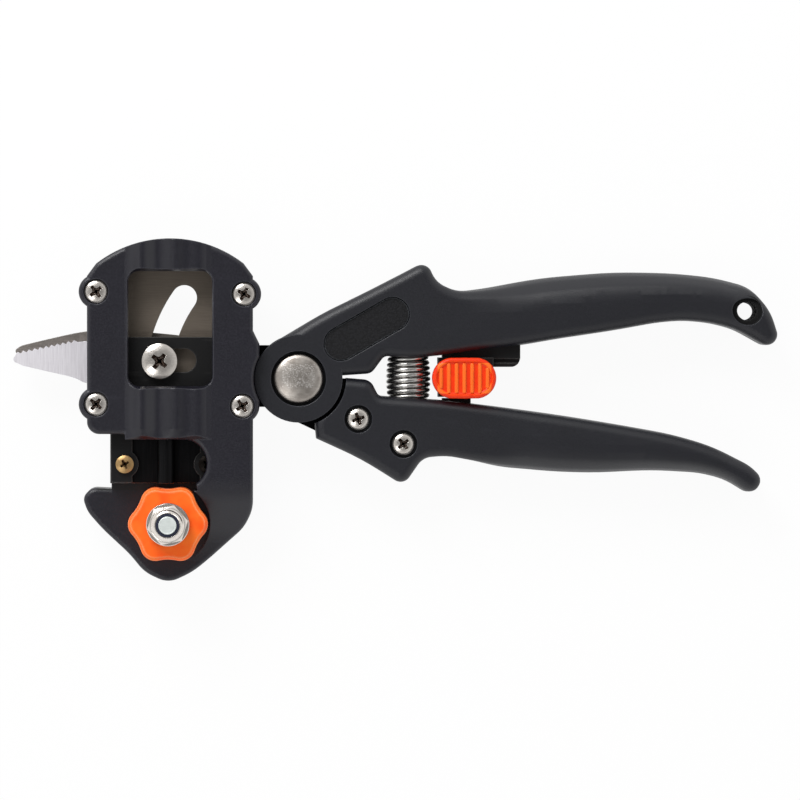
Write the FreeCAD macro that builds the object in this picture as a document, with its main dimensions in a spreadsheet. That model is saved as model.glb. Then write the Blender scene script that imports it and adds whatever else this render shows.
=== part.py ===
# Omega grafting tool, lying on its back with the handles closed.
# The pivot axis is the Z axis and the rest plane is Z = 0. The head points to -X, the handles to +X,
# and the blade cuts towards -Y. Lengths are in millimetres, angles in degrees.
import FreeCAD, Part
import math
import os
import re

import Sketcher
from FreeCAD import Vector

doc = FreeCAD.newDocument("OmegaGraftingTool")

# Driving dimensions: alias, value, what it is
SIZES = [
    ("overrun", 2.0, "how far every cut runs past the face it starts from"),
    ("fit_gap", 0.3, "running gap between sliding faces"),
    ("seat_gap", 0.2, "gap round a plate in its slot"),
    ("thread_gap", 0.05, "gap round a shank in its own body"),
    ("spin_gap", 0.06, "radial running clearance on a shaft"),
    ("edge_round", 1.2, "rounding of the casting's front edges"),

    ("plate_thickness", 3.0, "both steel plates"),
    ("lever_back", 5.8, "height of the lever plate's back"),
    ("frame_back", 9.0, "height of the frame plate's back"),
    ("frame_front", 12.0, "height of the frame plate's front"),
    ("handle_thickness", 18.0, "both handles"),
    ("handle_round", 2.6, "rounding of the handles' long edges"),

    ("grip_reach", 100.0, "pivot axis to the upper handle's widest place"),
    ("boss_radius", 12.3, "boss round the pivot and both plates' discs"),
    ("boss_clear_radius", 13.3, "the lower handle's hollow round the boss"),
    ("neck_top", 9.3, "frame plate's neck above the pivot"),
    ("neck_bottom", -8.0, "frame plate's neck below the pivot"),
    ("handle_split", 14.2, "where the upper handle starts to wrap the plates"),
    ("pivot_radius", 4.0, "pivot bolt"),
    ("pivot_head_radius", 7.0, "pivot head"),
    ("pivot_head_height", 4.2, "pivot head"),
    ("pivot_dome_radius", 16.0, "ball radius of the pivot head's dome"),
    ("pivot_sink_radius", 7.7, "recess round the pivot head"),
    ("pivot_sink_floor", 14.0, "height of the recess's floor"),
    ("pivot_washer_radius", 8.0, "rear washer"),
    ("pivot_washer_thickness", 1.2, "rear washer"),
    ("pivot_nut_width", 13.0, "across the flats"),

    ("tang_length", 34.0, "frame plate's tang, along the upper handle"),
    ("tang_width", 10.0, "frame plate's tang"),
    ("tang_angle", 31.0, "direction of the upper handle's tang"),
    ("tang_screw_near_x", 18.2, "first screw of the upper handle"),
    ("tang_screw_near_y", 13.0, "first screw of the upper handle"),
    ("tang_screw_far_x", 26.5, "second screw of the upper handle"),
    ("tang_screw_far_y", 17.9, "second screw of the upper handle"),
    ("grip_screw_near_x", 16.7, "first screw of the lower handle"),
    ("grip_screw_near_y", -11.3, "first screw of the lower handle"),
    ("grip_screw_far_x", 29.3, "second screw of the lower handle"),
    ("grip_screw_far_y", -18.3, "second screw of the lower handle"),
    ("grip_screw_radius", 2.0, "handle screws"),
    ("grip_head_radius", 2.85, "handle screw heads"),
    ("grip_head_height", 2.4, "handle screw heads"),
    ("grip_sink_radius", 3.9, "recess round a handle screw"),
    ("grip_sink_floor", 15.0, "height of the recess's floor"),
    ("tang_sink_floor", 13.6, "height of the floor under the cap"),
    ("grip_nut_width", 5.5, "handle nuts, across the flats"),
    ("grip_nut_height", 3.2, "handle nuts"),
    ("grip_nut_floor", 3.8, "height of the nut recess's floor"),

    ("inset_near_x", 11.8, "oval cap, near end's centre"),
    ("inset_near_y", 9.7, "oval cap, near end's centre"),
    ("inset_far_x", 26.3, "oval cap, far end's centre"),
    ("inset_far_y", 18.0, "oval cap, far end's centre"),
    ("inset_radius", 4.6, "oval cap, half width"),
    ("inset_sink", 1.6, "depth of the cap's recess"),
    ("inset_thickness", 1.0, "oval cap"),

    ("hang_radius", 2.8, "hang hole"),
    ("hang_sink_radius", 4.25, "hang hole's counterbore"),
    ("hang_sink_depth", 1.5, "hang hole's counterbore"),

    ("cam_reach", 39.1, "pivot axis to the cam pin's axis"),
    ("cam_rest_angle", 7.15, "cam pin above the -X direction at rest"),
    ("cam_travel_angle", 27.5, "the lever's travel"),
    ("cam_slot_spare_angle", 0.6, "extra turn at each end of the curved slot"),
    ("cam_slot_width", 7.1, "curved slot in the frame plate"),
    ("cam_roller_radius", 3.0, "roller on the cam pin"),
    ("cam_screw_radius", 2.5, "cam pin screw"),
    ("cam_head_radius", 4.8, "cam pin head"),
    ("cam_head_height", 3.0, "cam pin head"),
    ("cam_nut_width", 8.0, "across the flats"),
    ("cam_nut_height", 2.7, "cam pin nut"),

    ("head_reach", 60.0, "pivot axis to the head's foremost point"),
    ("cover_left", -58.9, "cover's left edge"),
    ("cover_right", -12.7, "cover's right edge"),
    ("cover_corner", 3.4, "rounding of the cover's lower left corner"),
    ("cover_shoulder", 29.9, "height of the dome's ends above the pivot"),
    ("shoulder_cut", 2.6, "how far the dome's corners are cut back"),
    ("dome_top", 39.1, "top of the dome above the pivot"),
    ("cover_front", 22.6, "height of the cover's front face"),
    ("cavity_roof", 20.8, "height of the carrier chamber's roof"),
    ("channel_front", 24.0, "height of the raised band's two crests"),
    ("channel_left", -48.3, "raised band's left edge"),
    ("channel_right", -24.2, "raised band's right edge"),
    ("crest_inset", 4.4, "band's edge to its crest"),
    ("crest_round", 7.0, "rounding along the crests"),
    ("channel_bottom", -15.4, "raised band's lower end"),
    ("channel_run_out", 1.3, "slope at the band's lower end"),
    ("groove_width", 5.5, "flat floor between the crests"),
    ("groove_depth", 0.9, "floor below the crests"),
    ("window_left", -47.4, "window"),
    ("window_right", -24.1, "window"),
    ("window_top", 30.0, "window"),
    ("window_bottom", -2.1, "window"),
    ("window_corner", 3.0, "window's corner radius"),
    ("window_draft", 0.8, "how far the window widens towards its front"),
    ("throat_x", -32.3, "centre of the throat's round end"),
    ("throat_y", -23.6, "centre of the throat's round end"),
    ("throat_radius", 6.7, "throat's round end"),
    ("throat_lip", 0.96, "jaw's face below the throat's round end"),
    ("sill_top", -28.7, "sill behind the blade, above the jaw's face"),
    ("jaw_depth", 26.2, "lower jaw, from its face to its lowest point"),
    ("collar_right", -10.9, "cover's hollow end round the pivot boss"),
    ("collar_top", 9.7, "cover's hollow end round the pivot boss"),
    ("collar_shoulder", 13.4, "where the hollow end leaves the cover's side"),
    ("column_top", -14.6, "where the column stands behind the plate"),
    ("column_foot", -36.4, "lower end of the column's straight side"),
    ("ramp_start", -24.0, "where the column's front starts to fall away"),
    ("ramp_high_y", -31.4, "upper end of the slope down to the jaw's face"),
    ("ramp_low_y", -46.0, "lower end of the slope down to the jaw's face"),
    ("ramp_round", 16.0, "rounding at both ends of the slope"),

    ("screw_left_x", -56.4, "left cover screws"),
    ("screw_right_upper_x", -15.2, "upper right cover screw"),
    ("screw_right_lower_x", -15.7, "lower right cover screw"),
    ("screw_upper_left_y", 24.3, "upper left cover screw"),
    ("screw_upper_right_y", 23.6, "upper right cover screw"),
    ("screw_lower_left_y", -7.05, "lower left cover screw"),
    ("screw_lower_right_y", -7.6, "lower right cover screw"),
    ("screw_boss_radius", 4.8, "bosses round the cover screws"),
    ("screw_radius", 1.5, "cover screws"),
    ("screw_head_radius", 3.1, "cover screw heads"),
    ("screw_head_height", 2.2, "cover screw heads"),
    ("screw_sink_radius", 3.45, "recess round a cover screw"),
    ("screw_sink_depth", 2.4, "recess round a cover screw"),
    ("lug_radius", 3.4, "the plate's lugs behind the cover screws"),

    ("jaw_reach", 80.0, "pivot axis to the pruning jaw's tip"),
    ("jaw_root_depth", 12.0, "how far the jaw's root reaches under the cover"),
    ("tooth_count", 11.0, "teeth of the fixed jaw"),
    ("tooth_depth", 0.7, "teeth of the fixed jaw"),

    ("carrier_left", -52.6, "blade carrier"),
    ("carrier_width", 31.3, "blade carrier"),
    ("carrier_top", 11.6, "blade carrier"),
    ("carrier_step", -12.6, "where the carrier's legs start"),
    ("carrier_foot", -29.3, "lower end of the legs"),
    ("carrier_thickness", 4.0, "blade carrier"),
    ("leg_width", 7.0, "carrier's legs"),
    ("leg_thickness", 2.0, "carrier's legs"),
    ("blade_edge", -29.2, "cutting edge, just above the wheel's lobes"),
    ("blade_thickness", 0.8, "omega blade's sheet"),
    ("blade_loop_radius", 2.5, "outside of the omega's loop"),
    ("blade_loop_height", 3.6, "loop's centre above the blade's back"),
    ("blade_neck", 1.2, "inner width of the omega's neck"),
    ("clamp_thickness", 1.8, "blade clamps"),
    ("clamp_width", 6.2, "blade clamps"),
    ("clamp_margin", 1.35, "clamp round its screw's head"),
    ("blade_screw_inset", 4.1, "blade screws from the carrier's sides"),
    ("blade_screw_y", -23.9, "blade screws"),
    ("blade_screw_radius", 1.25, "blade screws"),
    ("blade_head_radius", 2.5, "blade screw heads"),
    ("blade_head_height", 1.6, "blade screw heads"),

    ("wheel_x", -36.4, "anvil wheel's axis"),
    ("wheel_y", -40.5, "anvil wheel's axis"),
    ("lobe_count", 6.0, "lobes of the wheel"),
    ("lobe_radius", 11.1, "out to the lobes"),
    ("valley_radius", 9.8, "down to the valleys"),
    ("wheel_thickness", 11.6, "anvil wheel"),
    ("wheel_edge", 0.8, "bevel of the wheel's rim"),
    ("axle_radius", 3.0, "anvil bolt"),
    ("axle_head_width", 10.0, "across the flats"),
    ("axle_head_height", 4.0, "anvil bolt head"),
    ("axle_head_sink", 0.4, "anvil bolt head below the jaw's back"),
    ("axle_washer_radius", 6.0, "front washer"),
    ("axle_washer_thickness", 1.6, "front washer"),
    ("axle_nut_height", 4.6, "metal part of the locking nut"),
    ("collar_radius", 4.3, "nylon ring of the nut"),
    ("collar_height", 1.3, "nylon ring of the nut"),
    ("axle_end", 0.6, "bolt standing out of the nut"),

    ("lock_x", 46.3, "lock button's centre"),
    ("lock_y", 0.1, "lock button's centre"),
    ("lock_length", 17.9, "lock button"),
    ("lock_height", 11.4, "lock button"),
    ("lock_back", 14.5, "height of the button's back"),
    ("lock_thickness", 5.0, "lock button"),
    ("lock_rim", 1.1, "rim round the ridged field"),
    ("lock_field_depth", 1.2, "ridged field"),
    ("ridge_count", 7.0, "ridges of the button"),
    ("ridge_pitch", 2.2, "ridges of the button"),
    ("ridge_width", 0.9, "ridges of the button"),
    ("ridge_half_length", 4.1, "inner ridges"),
    ("ridge_end_half_length", 2.6, "outermost ridges"),
    ("rail_left", 40.4, "lock rail"),
    ("rail_right", 62.2, "lock rail"),
    ("rail_bottom", 3.2, "lock rail"),
    ("rail_top", 9.4, "lock rail, inside the handle"),
    ("rail_corner", 2.6, "lock rail's lower right corner"),
    ("rail_back", 5.0, "lock rail"),
    ("rail_front", 13.0, "lock rail"),
    ("rail_groove_low", 4.3, "guide groove"),
    ("rail_groove_high", 5.5, "guide groove"),
    ("rail_groove_depth", 1.0, "guide groove"),
    ("slider_left", 38.2, "lock slider"),
    ("slider_right", 54.6, "lock slider"),
    ("slider_top", 5.8, "lock slider's legs"),
    ("slider_wall", 1.2, "lock slider's legs"),
    ("slider_floor", 1.9, "lock slider's bottom"),
    ("toe_arm_width", 1.6, "lock slider's arm"),
    ("toe_bottom", -5.2, "lock slider's toe"),
    ("toe_thickness", 1.0, "lock slider's toe"),
    ("toe_reach", 2.8, "lock slider's toe, from its arm's left side"),
    ("keeper_left", 40.4, "keeper's base"),
    ("keeper_right", 48.3, "keeper's base"),
    ("keeper_root", -8.6, "keeper's base inside the handle"),
    ("keeper_deck", -5.6, "keeper's base"),
    ("keeper_stem_width", 1.4, "keeper's stem"),
    ("keeper_nib_reach", 2.6, "keeper's nib, from its right side"),
    ("keeper_nib_thickness", 1.5, "keeper's nib"),

    ("spring_x", 30.9, "spring's axis"),
    ("spring_height", 9.0, "height of the spring's axis"),
    ("spring_top_y", 8.1, "upper seat's face"),
    ("spring_bottom_y", -8.4, "lower seat's face"),
    ("spring_wire", 1.0, "wire diameter"),
    ("spring_end_radius", 4.8, "wire's centre line at the ends"),
    ("spring_mid_radius", 5.8, "wire's centre line in the middle"),
    ("spring_turns", 8.0, "full turns"),
    ("spring_bend", 1.3, "bend from the first turn into the end"),
    ("seat_radius", 5.7, "spring seats"),
    ("seat_thickness", 1.2, "spring seats"),
    ("seat_peg_radius", 3.4, "pegs inside the spring"),
    ("seat_peg_length", 4.0, "pegs inside the spring"),
    ("seat_bore_radius", 6.0, "the seats' recesses in the handles"),
]

sheet = doc.addObject("Spreadsheet::Sheet", "Sizes")
for row, (alias, value, note) in enumerate(SIZES, 1):
    sheet.set(f"A{row}", note)
    sheet.set(f"B{row}", str(value))
    sheet.setAlias(f"B{row}", alias)
doc.recompute()

ALIASES = {alias for alias, value, note in SIZES}
TOLERANCE = 1e-6
WORD = re.compile(r"[a-z][a-z_]*")


def bound(text):
    """An expression with each size's name pointed at the sheet."""
    return WORD.sub(lambda word: "Sizes." + word[0] if word[0] in ALIASES else word[0], text)


def size(text):
    """The value of an expression of named sizes."""
    value = sheet.evalExpression(bound(text))
    return float(getattr(value, "Value", value))


def polar(radius, degrees):
    angle = math.radians(degrees)
    return radius * math.cos(angle), radius * math.sin(angle)


# Outlines

# Shares of a run that a corner's arc may take: one that is free, and one with a stated radius
free_corner_share = 0.42
tight_corner_share = 0.56


def corner_arc(before, corner, after, radius):
    """Start, middle and end of the arc that rounds one corner of an outline."""
    back = (before - corner).normalize()
    ahead = (after - corner).normalize()
    half_turn = (math.pi - back.getAngle(ahead)) / 2
    run = min(before.distanceToPoint(corner), after.distanceToPoint(corner))
    if radius is None:
        reach = free_corner_share * run
    else:
        reach = min(radius * math.tan(half_turn), tight_corner_share * run)
    arc_radius = reach / math.tan(half_turn)
    middle = (back + ahead).normalize() * (arc_radius / math.cos(half_turn) - arc_radius)
    return corner + back * reach, corner + middle, corner + ahead * reach


def outline(corners, scale=1.0):
    """Straight runs joined by tangent arcs. A corner is (x, y), (x, y, radius) or (x, y, 0)."""
    points = [Vector(corner[0] * scale, corner[1] * scale, 0) for corner in corners]
    pieces = []
    for index, corner in enumerate(corners):
        radius = corner[2] * scale if len(corner) > 2 else None
        point = points[index]
        if radius == 0:
            pieces.append((point, None, point))
        else:
            pieces.append(corner_arc(points[index - 1], point, points[(index + 1) % len(points)], radius))
    edges = []
    for index, (start, middle, end) in enumerate(pieces):
        if middle is not None:
            edges.append(Part.Arc(start, middle, end))
        edges.append(Part.LineSegment(end, pieces[(index + 1) % len(pieces)][0]))
    return edges


def grown(edges, gap):
    """The same outline, moved outwards by a gap."""
    wire = Part.Wire([edge.toShape() for edge in edges])
    wider = wire.makeOffset2D(gap)
    if Part.Face(wider).Area < Part.Face(wire).Area:
        wider = wire.makeOffset2D(-gap)
    return [curve_of(edge) for edge in wider.Edges]


def curve_of(edge):
    """A straight or round edge as sketch geometry."""
    ends = [vertex.Point for vertex in edge.Vertexes]
    if isinstance(edge.Curve, Part.Line):
        return Part.LineSegment(ends[0], ends[-1])
    first, last = edge.ParameterRange
    return Part.Arc(edge.valueAt(first), edge.valueAt((first + last) / 2), edge.valueAt(last))


def stadium(start, end, radius):
    """A slot's outline between two centres."""
    along = Vector(*end, 0) - Vector(*start, 0)
    side = Vector(-along.y, along.x, 0).normalize() * radius
    tip = Vector(along.x, along.y, 0).normalize() * radius
    near = Vector(*start, 0)
    far = Vector(*end, 0)
    return [
        Part.LineSegment(near - side, far - side),
        Part.Arc(far - side, far + tip, far + side),
        Part.LineSegment(far + side, near + side),
        Part.Arc(near + side, near - tip, near - side),
    ]


# Bodies and their features

def new_body(label):
    body = doc.addObject("PartDesign::Body", label)
    body.Label = label
    return body


def new_sketch(body, plane, height):
    """A sketch on one of the body's own planes, moved along its normal by an expression."""
    sketch = body.newObject("Sketcher::SketchObject", body.Label + "_sketch")
    support = next(feature for feature in body.Origin.OriginFeatures if feature.Role == plane)
    sketch.AttachmentSupport = (support, [""])
    sketch.MapMode = "FlatFace"
    sketch.setExpression("AttachmentOffset.Base.z", bound(height))
    return sketch


def drawn(body, edges, height="0", plane="XY_Plane"):
    """A sketch that holds a finished outline."""
    sketch = new_sketch(body, plane, height)
    sketch.addGeometry(edges, False)
    return sketch


def tie(sketch, kind, geometry, point, text):
    """Bind one coordinate of a point to an expression."""
    value = size(text)
    if value == 0:
        axis = -2 if kind == "DistanceX" else -1
        sketch.addConstraint(Sketcher.Constraint("PointOnObject", geometry, point, axis))
        return
    place = sketch.addConstraint(Sketcher.Constraint(kind, -1, 1, geometry, point, value))
    sketch.setExpression(f"Constraints[{place}]", bound(text))


def polygon(body, corners, height="0", plane="XY_Plane"):
    """A sketch of straight lines whose corners are expressions."""
    sketch = new_sketch(body, plane, height)
    points = [Vector(size(x), size(y), 0) for x, y in corners]
    for index, point in enumerate(points):
        sketch.addGeometry(Part.LineSegment(point, points[(index + 1) % len(points)]), False)
    for index, (x, y) in enumerate(corners):
        follower = (index + 1) % len(corners)
        sketch.addConstraint(Sketcher.Constraint("Coincident", index, 2, follower, 1))
        tie(sketch, "DistanceX", index, 1, x)
        tie(sketch, "DistanceY", index, 1, y)
    return sketch


def rectangle(body, left, right, bottom, top, height="0", plane="XY_Plane"):
    corners = [(left, bottom), (right, bottom), (right, top), (left, top)]
    return polygon(body, corners, height, plane)


def circles(body, places, radius, height="0"):
    """A sketch of equal circles at places given as expressions."""
    sketch = new_sketch(body, "XY_Plane", height)
    for index, (x, y) in enumerate(places):
        centre = Vector(size(x), size(y), 0)
        sketch.addGeometry(Part.Circle(centre, Vector(0, 0, 1), size(radius)), False)
        tie(sketch, "DistanceX", index, 3, x)
        tie(sketch, "DistanceY", index, 3, y)
        place = sketch.addConstraint(Sketcher.Constraint("Radius", index, size(radius)))
        sketch.setExpression(f"Constraints[{place}]", bound(radius))
    return sketch


def hexagons(body, places, width, height="0"):
    """A sketch of equal hexagons at places given as expressions."""
    sketch = new_sketch(body, "XY_Plane", height)
    corner_radius = size(width) / math.sqrt(3)
    for x, y in places:
        centre = Vector(size(x), size(y), 0)
        turns = [math.radians(60 * step) for step in range(6)]
        corners = [centre + Vector(math.cos(turn), math.sin(turn), 0) * corner_radius for turn in turns]
        sides = [Part.LineSegment(corners[step - 1], corners[step]) for step in range(6)]
        sketch.addGeometry(sides, False)
    return sketch


def pad(body, sketch, length):
    feature = body.newObject("PartDesign::Pad", body.Label + "_pad")
    feature.Profile = sketch
    feature.setExpression("Length", bound(length))
    sketch.Visibility = False
    doc.recompute()
    return feature


def pocket(body, sketch, depth, upwards=False):
    """Cut from the sketch's plane, downwards unless it says upwards."""
    before = body.Shape.Volume
    feature = body.newObject("PartDesign::Pocket", body.Label + "_pocket")
    feature.Profile = sketch
    feature.setExpression("Length", bound(depth))
    feature.Reversed = upwards
    doc.recompute()
    if not body.Shape.Volume < before:
        raise RuntimeError(f"{body.Label}: {feature.Name} cuts nothing")
    return feature


def rounded(body, edges, radius):
    """Round some of the tip's edges, given by a test on each edge."""
    tip = body.Tip
    names = [f"Edge{number}" for number, edge in enumerate(tip.Shape.Edges, 1) if edges(edge)]
    feature = body.newObject("PartDesign::Fillet", body.Label + "_fillet")
    feature.Base = (tip, names)
    feature.setExpression("Radius", bound(radius))
    doc.recompute()
    return feature


def bevelled(body, edges, width):
    tip = body.Tip
    names = [f"Edge{number}" for number, edge in enumerate(tip.Shape.Edges, 1) if edges(edge)]
    feature = body.newObject("PartDesign::Chamfer", body.Label + "_chamfer")
    feature.Base = (tip, names)
    feature.setExpression("Size", bound(width))
    doc.recompute()
    return feature


def level_edge(*levels):
    """A test for edges that lie flat at one of the given heights."""
    heights = [size(level) for level in levels]

    def test(edge):
        box = edge.BoundBox
        flat = box.ZLength < TOLERANCE
        return flat and any(abs(box.ZMin - height) < TOLERANCE for height in heights)

    return test


# Cross recess of a screw: its span and the width of its bars, as shares of the stated radius and of the span
cross_span_share = 1.1
cross_bar_share = 0.26


def stacked_screw(label, place, steps, recess=None):
    """A turned piece: discs of (radius, from, to) joined, with a cross recess in its top."""
    discs = []
    for number, (radius, low, high) in enumerate(steps):
        disc = doc.addObject("Part::Cylinder", f"{label}_disc{number}")
        disc.setExpression("Radius", bound(radius))
        disc.setExpression("Height", bound(f"({high}) - ({low})"))
        disc.setExpression("Placement.Base.x", bound(place[0]))
        disc.setExpression("Placement.Base.y", bound(place[1]))
        disc.setExpression("Placement.Base.z", bound(low))
        discs.append(disc)
    fused = doc.addObject("Part::MultiFuse", label + "_turned")
    fused.Shapes = discs
    if recess is None:
        return fused
    radius, top, depth = recess
    bars = []
    span = f"{cross_span_share} * {radius}"
    for number, (wide, tall) in enumerate([(1, cross_bar_share), (cross_bar_share, 1)]):
        bar = doc.addObject("Part::Box", f"{label}_bar{number}")
        bar.setExpression("Length", bound(f"{span} * {wide}"))
        bar.setExpression("Width", bound(f"{span} * {tall}"))
        bar.setExpression("Height", bound(f"{depth} + overrun"))
        bar.setExpression("Placement.Base.x", bound(f"{place[0]} - {span} * {wide} / 2"))
        bar.setExpression("Placement.Base.y", bound(f"{place[1]} - {span} * {tall} / 2"))
        bar.setExpression("Placement.Base.z", bound(f"{top} - {depth}"))
        bars.append(bar)
    cross = doc.addObject("Part::MultiFuse", label + "_cross")
    cross.Shapes = bars
    cut = doc.addObject("Part::Cut", label + "_cut")
    cut.Base = fused
    cut.Tool = cross
    return cut


def group(label, pieces):
    """Identical pieces as one sub-part."""
    compound = doc.addObject("Part::Compound", label)
    compound.Links = pieces
    compound.Label = label
    return compound


def named(piece, label):
    piece.Label = label
    return piece


SUB_PARTS = []


def keep(piece):
    SUB_PARTS.append(piece)
    return piece


# Places that several pieces share
PIVOT = ("0", "0")
WHEEL = ("wheel_x", "wheel_y")
COVER_SCREWS = [
    ("screw_left_x", "screw_upper_left_y"),
    ("screw_right_upper_x", "screw_upper_right_y"),
    ("screw_left_x", "screw_lower_left_y"),
    ("screw_right_lower_x", "screw_lower_right_y"),
]
TANG_SCREWS = [("tang_screw_near_x", "tang_screw_near_y"), ("tang_screw_far_x", "tang_screw_far_y")]
GRIP_SCREWS = [("grip_screw_near_x", "grip_screw_near_y"), ("grip_screw_far_x", "grip_screw_far_y")]
CAM_PIN = ("-cam_reach * cos(cam_rest_angle)", "cam_reach * sin(cam_rest_angle)")
BLADE_SCREWS = [
    ("carrier_left + blade_screw_inset", "blade_screw_y"),
    ("carrier_left + carrier_width - blade_screw_inset", "blade_screw_y"),
]
LEVER_FRONT = "lever_back + plate_thickness"
CARRIER_BACK = "frame_front + fit_gap"
CARRIER_FRONT = "frame_front + fit_gap + carrier_thickness"
BLADE_BACK = "frame_front + fit_gap + leg_thickness"


# Frame plate: cam slot, serrated pruning jaw and the tang inside the upper handle
def jaw_teeth():
    """The fixed jaw, with a row of small teeth along its upper edge."""
    reach = size("jaw_reach")
    tip_share = (-0.992, 0.091)
    root_share = (-0.775, 0.136)
    hidden_root_shares = (0.145, -0.03)
    lower_edge_shares = [
        (-0.751, -0.015), (-0.776, 0.0), (-0.815, 0.011), (-0.879, 0.025), (-0.964, 0.045, 0.02),
        (-1.002, 0.062, 0.012),
    ]
    count = int(size("tooth_count"))
    start = Vector(tip_share[0] * reach, tip_share[1] * reach, 0)
    stop = Vector(root_share[0] * reach, root_share[1] * reach, 0)
    step = (stop - start) / count
    inward = Vector(step.y, -step.x, 0).normalize() * size("tooth_depth")
    corners = [(size("cover_left + jaw_root_depth"), share * reach, 0) for share in hidden_root_shares]
    corners += [(x * reach, y * reach, *(r * reach for r in rest)) for x, y, *rest in lower_edge_shares]
    for tooth in range(count):
        crest = start + step * (tooth + 0.5)
        valley = start + step * (tooth + 1) + inward
        corners.append((crest.x, crest.y, 0))
        corners.append((valley.x, valley.y, 0))
    return outline(corners)


def plate_head_corners(inset):
    """The part of the plate that the cover hides, a little inside the cover's edge."""
    left = size("cover_left") + inset
    right = size("cover_right") - inset
    shoulder = size("cover_shoulder") - inset
    top = size("dome_top") - inset
    middle = (left + right) / 2
    rise = top - shoulder
    half = (right - left) / 2
    dome_radius = (half * half + rise * rise) / (2 * rise)
    return left, right, shoulder, top, middle, dome_radius


def dome_outline(inset, bottom):
    """Straight sides and bottom under a single round dome."""
    left, right, shoulder, top, middle, dome_radius = plate_head_corners(inset)
    cut = size("shoulder_cut")
    half = (right - left) / 2 - cut
    arc_end = top - dome_radius + math.sqrt(dome_radius * dome_radius - half * half)
    corners = [
        Vector(left, bottom, 0), Vector(right, bottom, 0), Vector(right, shoulder - cut / 2, 0),
        Vector(right - cut, arc_end, 0), Vector(left + cut, arc_end, 0), Vector(left, shoulder - cut / 2, 0),
    ]
    edges = [Part.LineSegment(corner, corners[place - 5]) for place, corner in enumerate(corners)]
    edges[3] = Part.Arc(corners[3], Vector(middle, top, 0), corners[4])
    return edges


def ring_slot(reach, start_angle, end_angle, width):
    """A slot of constant width along an arc about the pivot."""
    half = width / 2

    def at(radius, angle):
        return Vector(*polar(radius, angle), 0)

    middle_angle = (start_angle + end_angle) / 2
    cap = math.degrees(half / reach)
    return [
        Part.Arc(at(reach - half, start_angle), at(reach - half, middle_angle), at(reach - half, end_angle)),
        Part.Arc(at(reach - half, end_angle), at(reach, end_angle + cap), at(reach + half, end_angle)),
        Part.Arc(at(reach + half, end_angle), at(reach + half, middle_angle), at(reach + half, start_angle)),
        Part.Arc(at(reach + half, start_angle), at(reach, start_angle - cap), at(reach - half, start_angle)),
    ]


def tang_outline():
    end = polar(size("tang_length - tang_width / 2"), size("tang_angle"))
    return stadium((0, 0), end, size("tang_width / 2"))


plate_inset = size("edge_round")
frame_plate = new_body("frame_plate")
plate_bottom = size("column_top + fit_gap")
pad(frame_plate, drawn(frame_plate, dome_outline(plate_inset, plate_bottom), "frame_back"), "plate_thickness")
pad(frame_plate, circles(frame_plate, [PIVOT], "boss_radius", "frame_back"), "plate_thickness")
pad(frame_plate, drawn(frame_plate, tang_outline(), "frame_back"), "plate_thickness")
pad(frame_plate, rectangle(frame_plate, "cover_right - boss_radius", "0", "neck_bottom", "neck_top",
                           "frame_back"), "plate_thickness")
pad(frame_plate, drawn(frame_plate, jaw_teeth(), "frame_back"), "plate_thickness")
for lug in COVER_SCREWS:
    pad(frame_plate, circles(frame_plate, [lug], "lug_radius", "frame_back"), "plate_thickness")
slot_start = 180 - size("cam_rest_angle + cam_travel_angle + cam_slot_spare_angle")
slot_end = 180 - size("cam_rest_angle - cam_slot_spare_angle")
cam_slot = ring_slot(size("cam_reach"), slot_start, slot_end, size("cam_slot_width"))
pocket(frame_plate, drawn(frame_plate, cam_slot, "frame_front + overrun"), "plate_thickness + 2 * overrun")
pocket(frame_plate, circles(frame_plate, [PIVOT], "pivot_radius + thread_gap", "frame_front + overrun"),
       "plate_thickness + 2 * overrun")
pocket(frame_plate, circles(frame_plate, COVER_SCREWS, "screw_radius + thread_gap", "frame_front + overrun"),
       "plate_thickness + 2 * overrun")
pocket(frame_plate, circles(frame_plate, TANG_SCREWS, "grip_screw_radius + thread_gap",
                            "frame_front + overrun"), "plate_thickness + 2 * overrun")
keep(frame_plate)


# Lever plate: pruning blade, cam pin hole and the tang inside the lower handle
lever_arm_shares = [
    (-1.0, 0.092, 0.01), (-0.974, 0.114), (-0.879, 0.137), (-0.8, 0.155), (-0.74, 0.166), (-0.55, 0.163),
    (-0.45, 0.1545), (-0.3, 0.136), (-0.2, 0.122), (-0.14, 0.108), (-0.05, 0.105, 0), (-0.05, -0.098, 0),
    (-0.16, -0.096), (-0.25, -0.102), (-0.5, -0.052), (-0.66, -0.005), (-0.74, 0.022), (-0.84, 0.044),
    (-0.93, 0.066),
]
lever_tang_shares = [
    (-0.02, -0.115, 0.02), (0.054, -0.150, 0.02), (0.12, -0.172, 0.04), (0.29, -0.232, 0.04),
    (0.35, -0.198, 0.03), (0.355, -0.145, 0.03), (0.19, -0.07, 0.05), (0.118, -0.03, 0.02),
    (0.1, 0.05, 0.02), (0, 0.06, 0.03),
]
lever_tang = outline(lever_tang_shares, size("grip_reach"))
lever_plate = new_body("lever_plate")
pad(lever_plate, drawn(lever_plate, outline(lever_arm_shares, size("jaw_reach")), "lever_back"),
    "plate_thickness")
pad(lever_plate, circles(lever_plate, [PIVOT], "boss_radius", "lever_back"), "plate_thickness")
pad(lever_plate, drawn(lever_plate, lever_tang, "lever_back"), "plate_thickness")
through_lever = LEVER_FRONT + " + overrun"
pocket(lever_plate, circles(lever_plate, [PIVOT], "pivot_radius + spin_gap", through_lever),
       "plate_thickness + 2 * overrun")
pocket(lever_plate, circles(lever_plate, [CAM_PIN], "cam_screw_radius + thread_gap", through_lever),
       "plate_thickness + 2 * overrun")
pocket(lever_plate, circles(lever_plate, GRIP_SCREWS, "grip_screw_radius + thread_gap", through_lever),
       "plate_thickness + 2 * overrun")
keep(lever_plate)


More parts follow.
